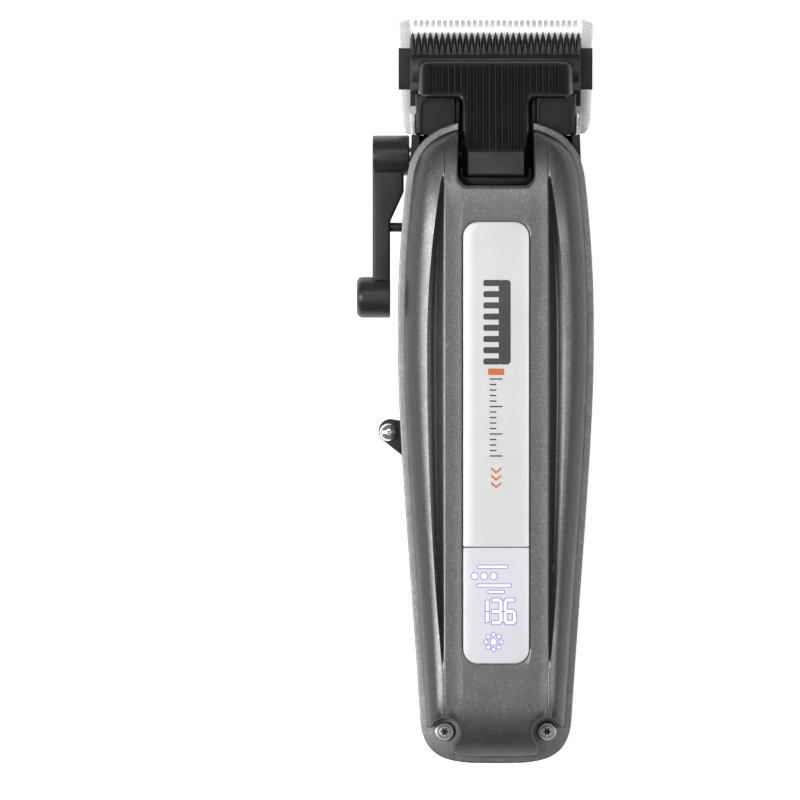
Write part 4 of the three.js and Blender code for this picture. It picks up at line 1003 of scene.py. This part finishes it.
def display():
    prism("display_glass", plate_outline(WINDOW_LOW[1], WINDOW_HIGH[1], PLATE_CORNER, 0.3), WINDOW_LOW[2],
          WINDOW_HIGH[2], "housing", "window_clear", edge=0.25, steps=5, pillow=PILLOW, node="display_window")
    for k, x in enumerate((-5.0, -2.8, -0.6)):
        lit(f"icon_{k}", circle(x, -43.5, 0.66, 28), "abc"[k])
    for k, (x, character) in enumerate(((-4.3, "1"), (-1.1, "3"), (2.1, "6"))):
        digit(f"figure_{k}", character, x, -54.4, 2.2, 5.3, 0.62)
    centre_x, centre_y, blades = -0.6, -58.9, 8
    for k in range(blades):
        turn = 2 * math.pi * k / blades
        x, y = centre_x + 1.75 * math.cos(turn), centre_y + 1.75 * math.sin(turn)
        lit(f"fan_blade_{k}", circle(x, y, 0.34, 18), "abcdefgh"[k])
    lit("fan_hub", circle(centre_x, centre_y, 0.62, 28))
    for k, (y, x0, x1) in enumerate(((-41.3, -4.2, 2.6), (-45.7, -4.4, 3.4), (-47.2, -1.8, 1.8))):
        lit(f"caption_bar_{k}", round_rect(x0, x1, y - 0.22, y + 0.22, 0.15, 3), "abc"[k])


def charge_port():
    low, high = PORT_LOW, PORT_HIGH
    frame_outline = round_rect(low[0], high[0], low[2], high[2], 1.5)
    frame = prism("port_frame", frame_outline, low[1], high[1], None, None, axis="y", edge=0.25)
    mouth = round_rect(-4.55, 4.55, 15.75, 19.25, 1.7)
    apply_boolean(frame, cutter(mouth, -120, 0, "y"))
    dress(frame, "housing", "gloss_black", 35, "port_surround")


# ---- stage, lights and camera ----
def studio():
    reach, level = 1500, -0.4
    plan = [(-reach, -reach), (reach, -reach), (reach, reach), (-reach, reach)]
    floor = finish_mesh("floor", [(x, y, level) for x, y in plan], [(0, 1, 2, 3)], None, None)
    nodes = Nodes("floor")
    tone = nodes.ramp(nodes.noise(60.0, 2.0), [(0.3, grey(0.88)), (0.7, grey(0.9))])
    nodes.link(tone, nodes.shader.inputs["Base Color"])
    nodes.shader.inputs["Roughness"].default_value = 0.9
    nodes.shader.inputs["Emission Color"].default_value = (1, 1, 1, 1)
    nodes.shader.inputs["Emission Strength"].default_value = 0.75
    floor.data.materials.append(nodes.material)
    world = bpy.data.worlds.new("studio")
    world.use_nodes = True
    world.node_tree.nodes["Background"].inputs["Color"].default_value = (1, 1, 1, 1)
    world.node_tree.nodes["Background"].inputs["Strength"].default_value = 0.12
    scene = bpy.context.scene
    scene.world = world
    scene.view_settings.view_transform = "Standard"
    area("key_left", (-0.82, 0.0, 0.9), 0.44, 1.3, 12.5)
    area("strip_right", (0.8, 0.0, 0.92), 0.3, 1.3, 3.7)
    area("head_side", (0.0, 0.52, 1.1), 0.5, 0.16, 1.35)
    area("tail_side", (0.0, -0.43, 1.15), 0.5, 0.12, 0.35)


def area(name, place, wide, long, power):
    light = bpy.data.lights.new(name, "AREA")
    light.shape = "RECTANGLE"
    light.size, light.size_y, light.energy = wide, long, power
    lamp = bpy.data.objects.new(name, light)
    lamp.location = place
    lamp.rotation_euler = (Vector((0, 0, 0.02)) - Vector(place)).to_track_quat("-Z", "Y").to_euler()
    bpy.context.scene.collection.objects.link(lamp)


def camera():
    """Straight down on the front face, with the long lens of a product picture."""
    data = bpy.data.cameras.new("camera")
    data.lens, data.sensor_width = 600, 36
    view_wide = 0.1878
    height = view_wide * data.lens / data.sensor_width
    data.clip_end = 10
    eye = bpy.data.objects.new("camera", data)
    eye.location = (-0.0225, -0.0023, FLANGE_Z * MM + height)
    eye.rotation_euler = (0, 0, 0)
    bpy.context.scene.collection.objects.link(eye)
    bpy.context.scene.camera = eye


def colour_cad_nodes():
    slots = {part["node"]: part["material_slot"] for part in frame["record"]["subparts"]}
    for name, node in frame["nodes"].items():
        node.data.materials.clear()
        node.data.materials.append(MATERIALS[slots[name]])
        shade(node, 30)


make_materials()
colour_cad_nodes()
front_cover()
rear_housing()
head_block()
blade_cover()
fixed_blade()
moving_blade()
taper_lever()
power_switch()
cover_screws()
face_plate()
display()
charge_port()
studio()
camera()
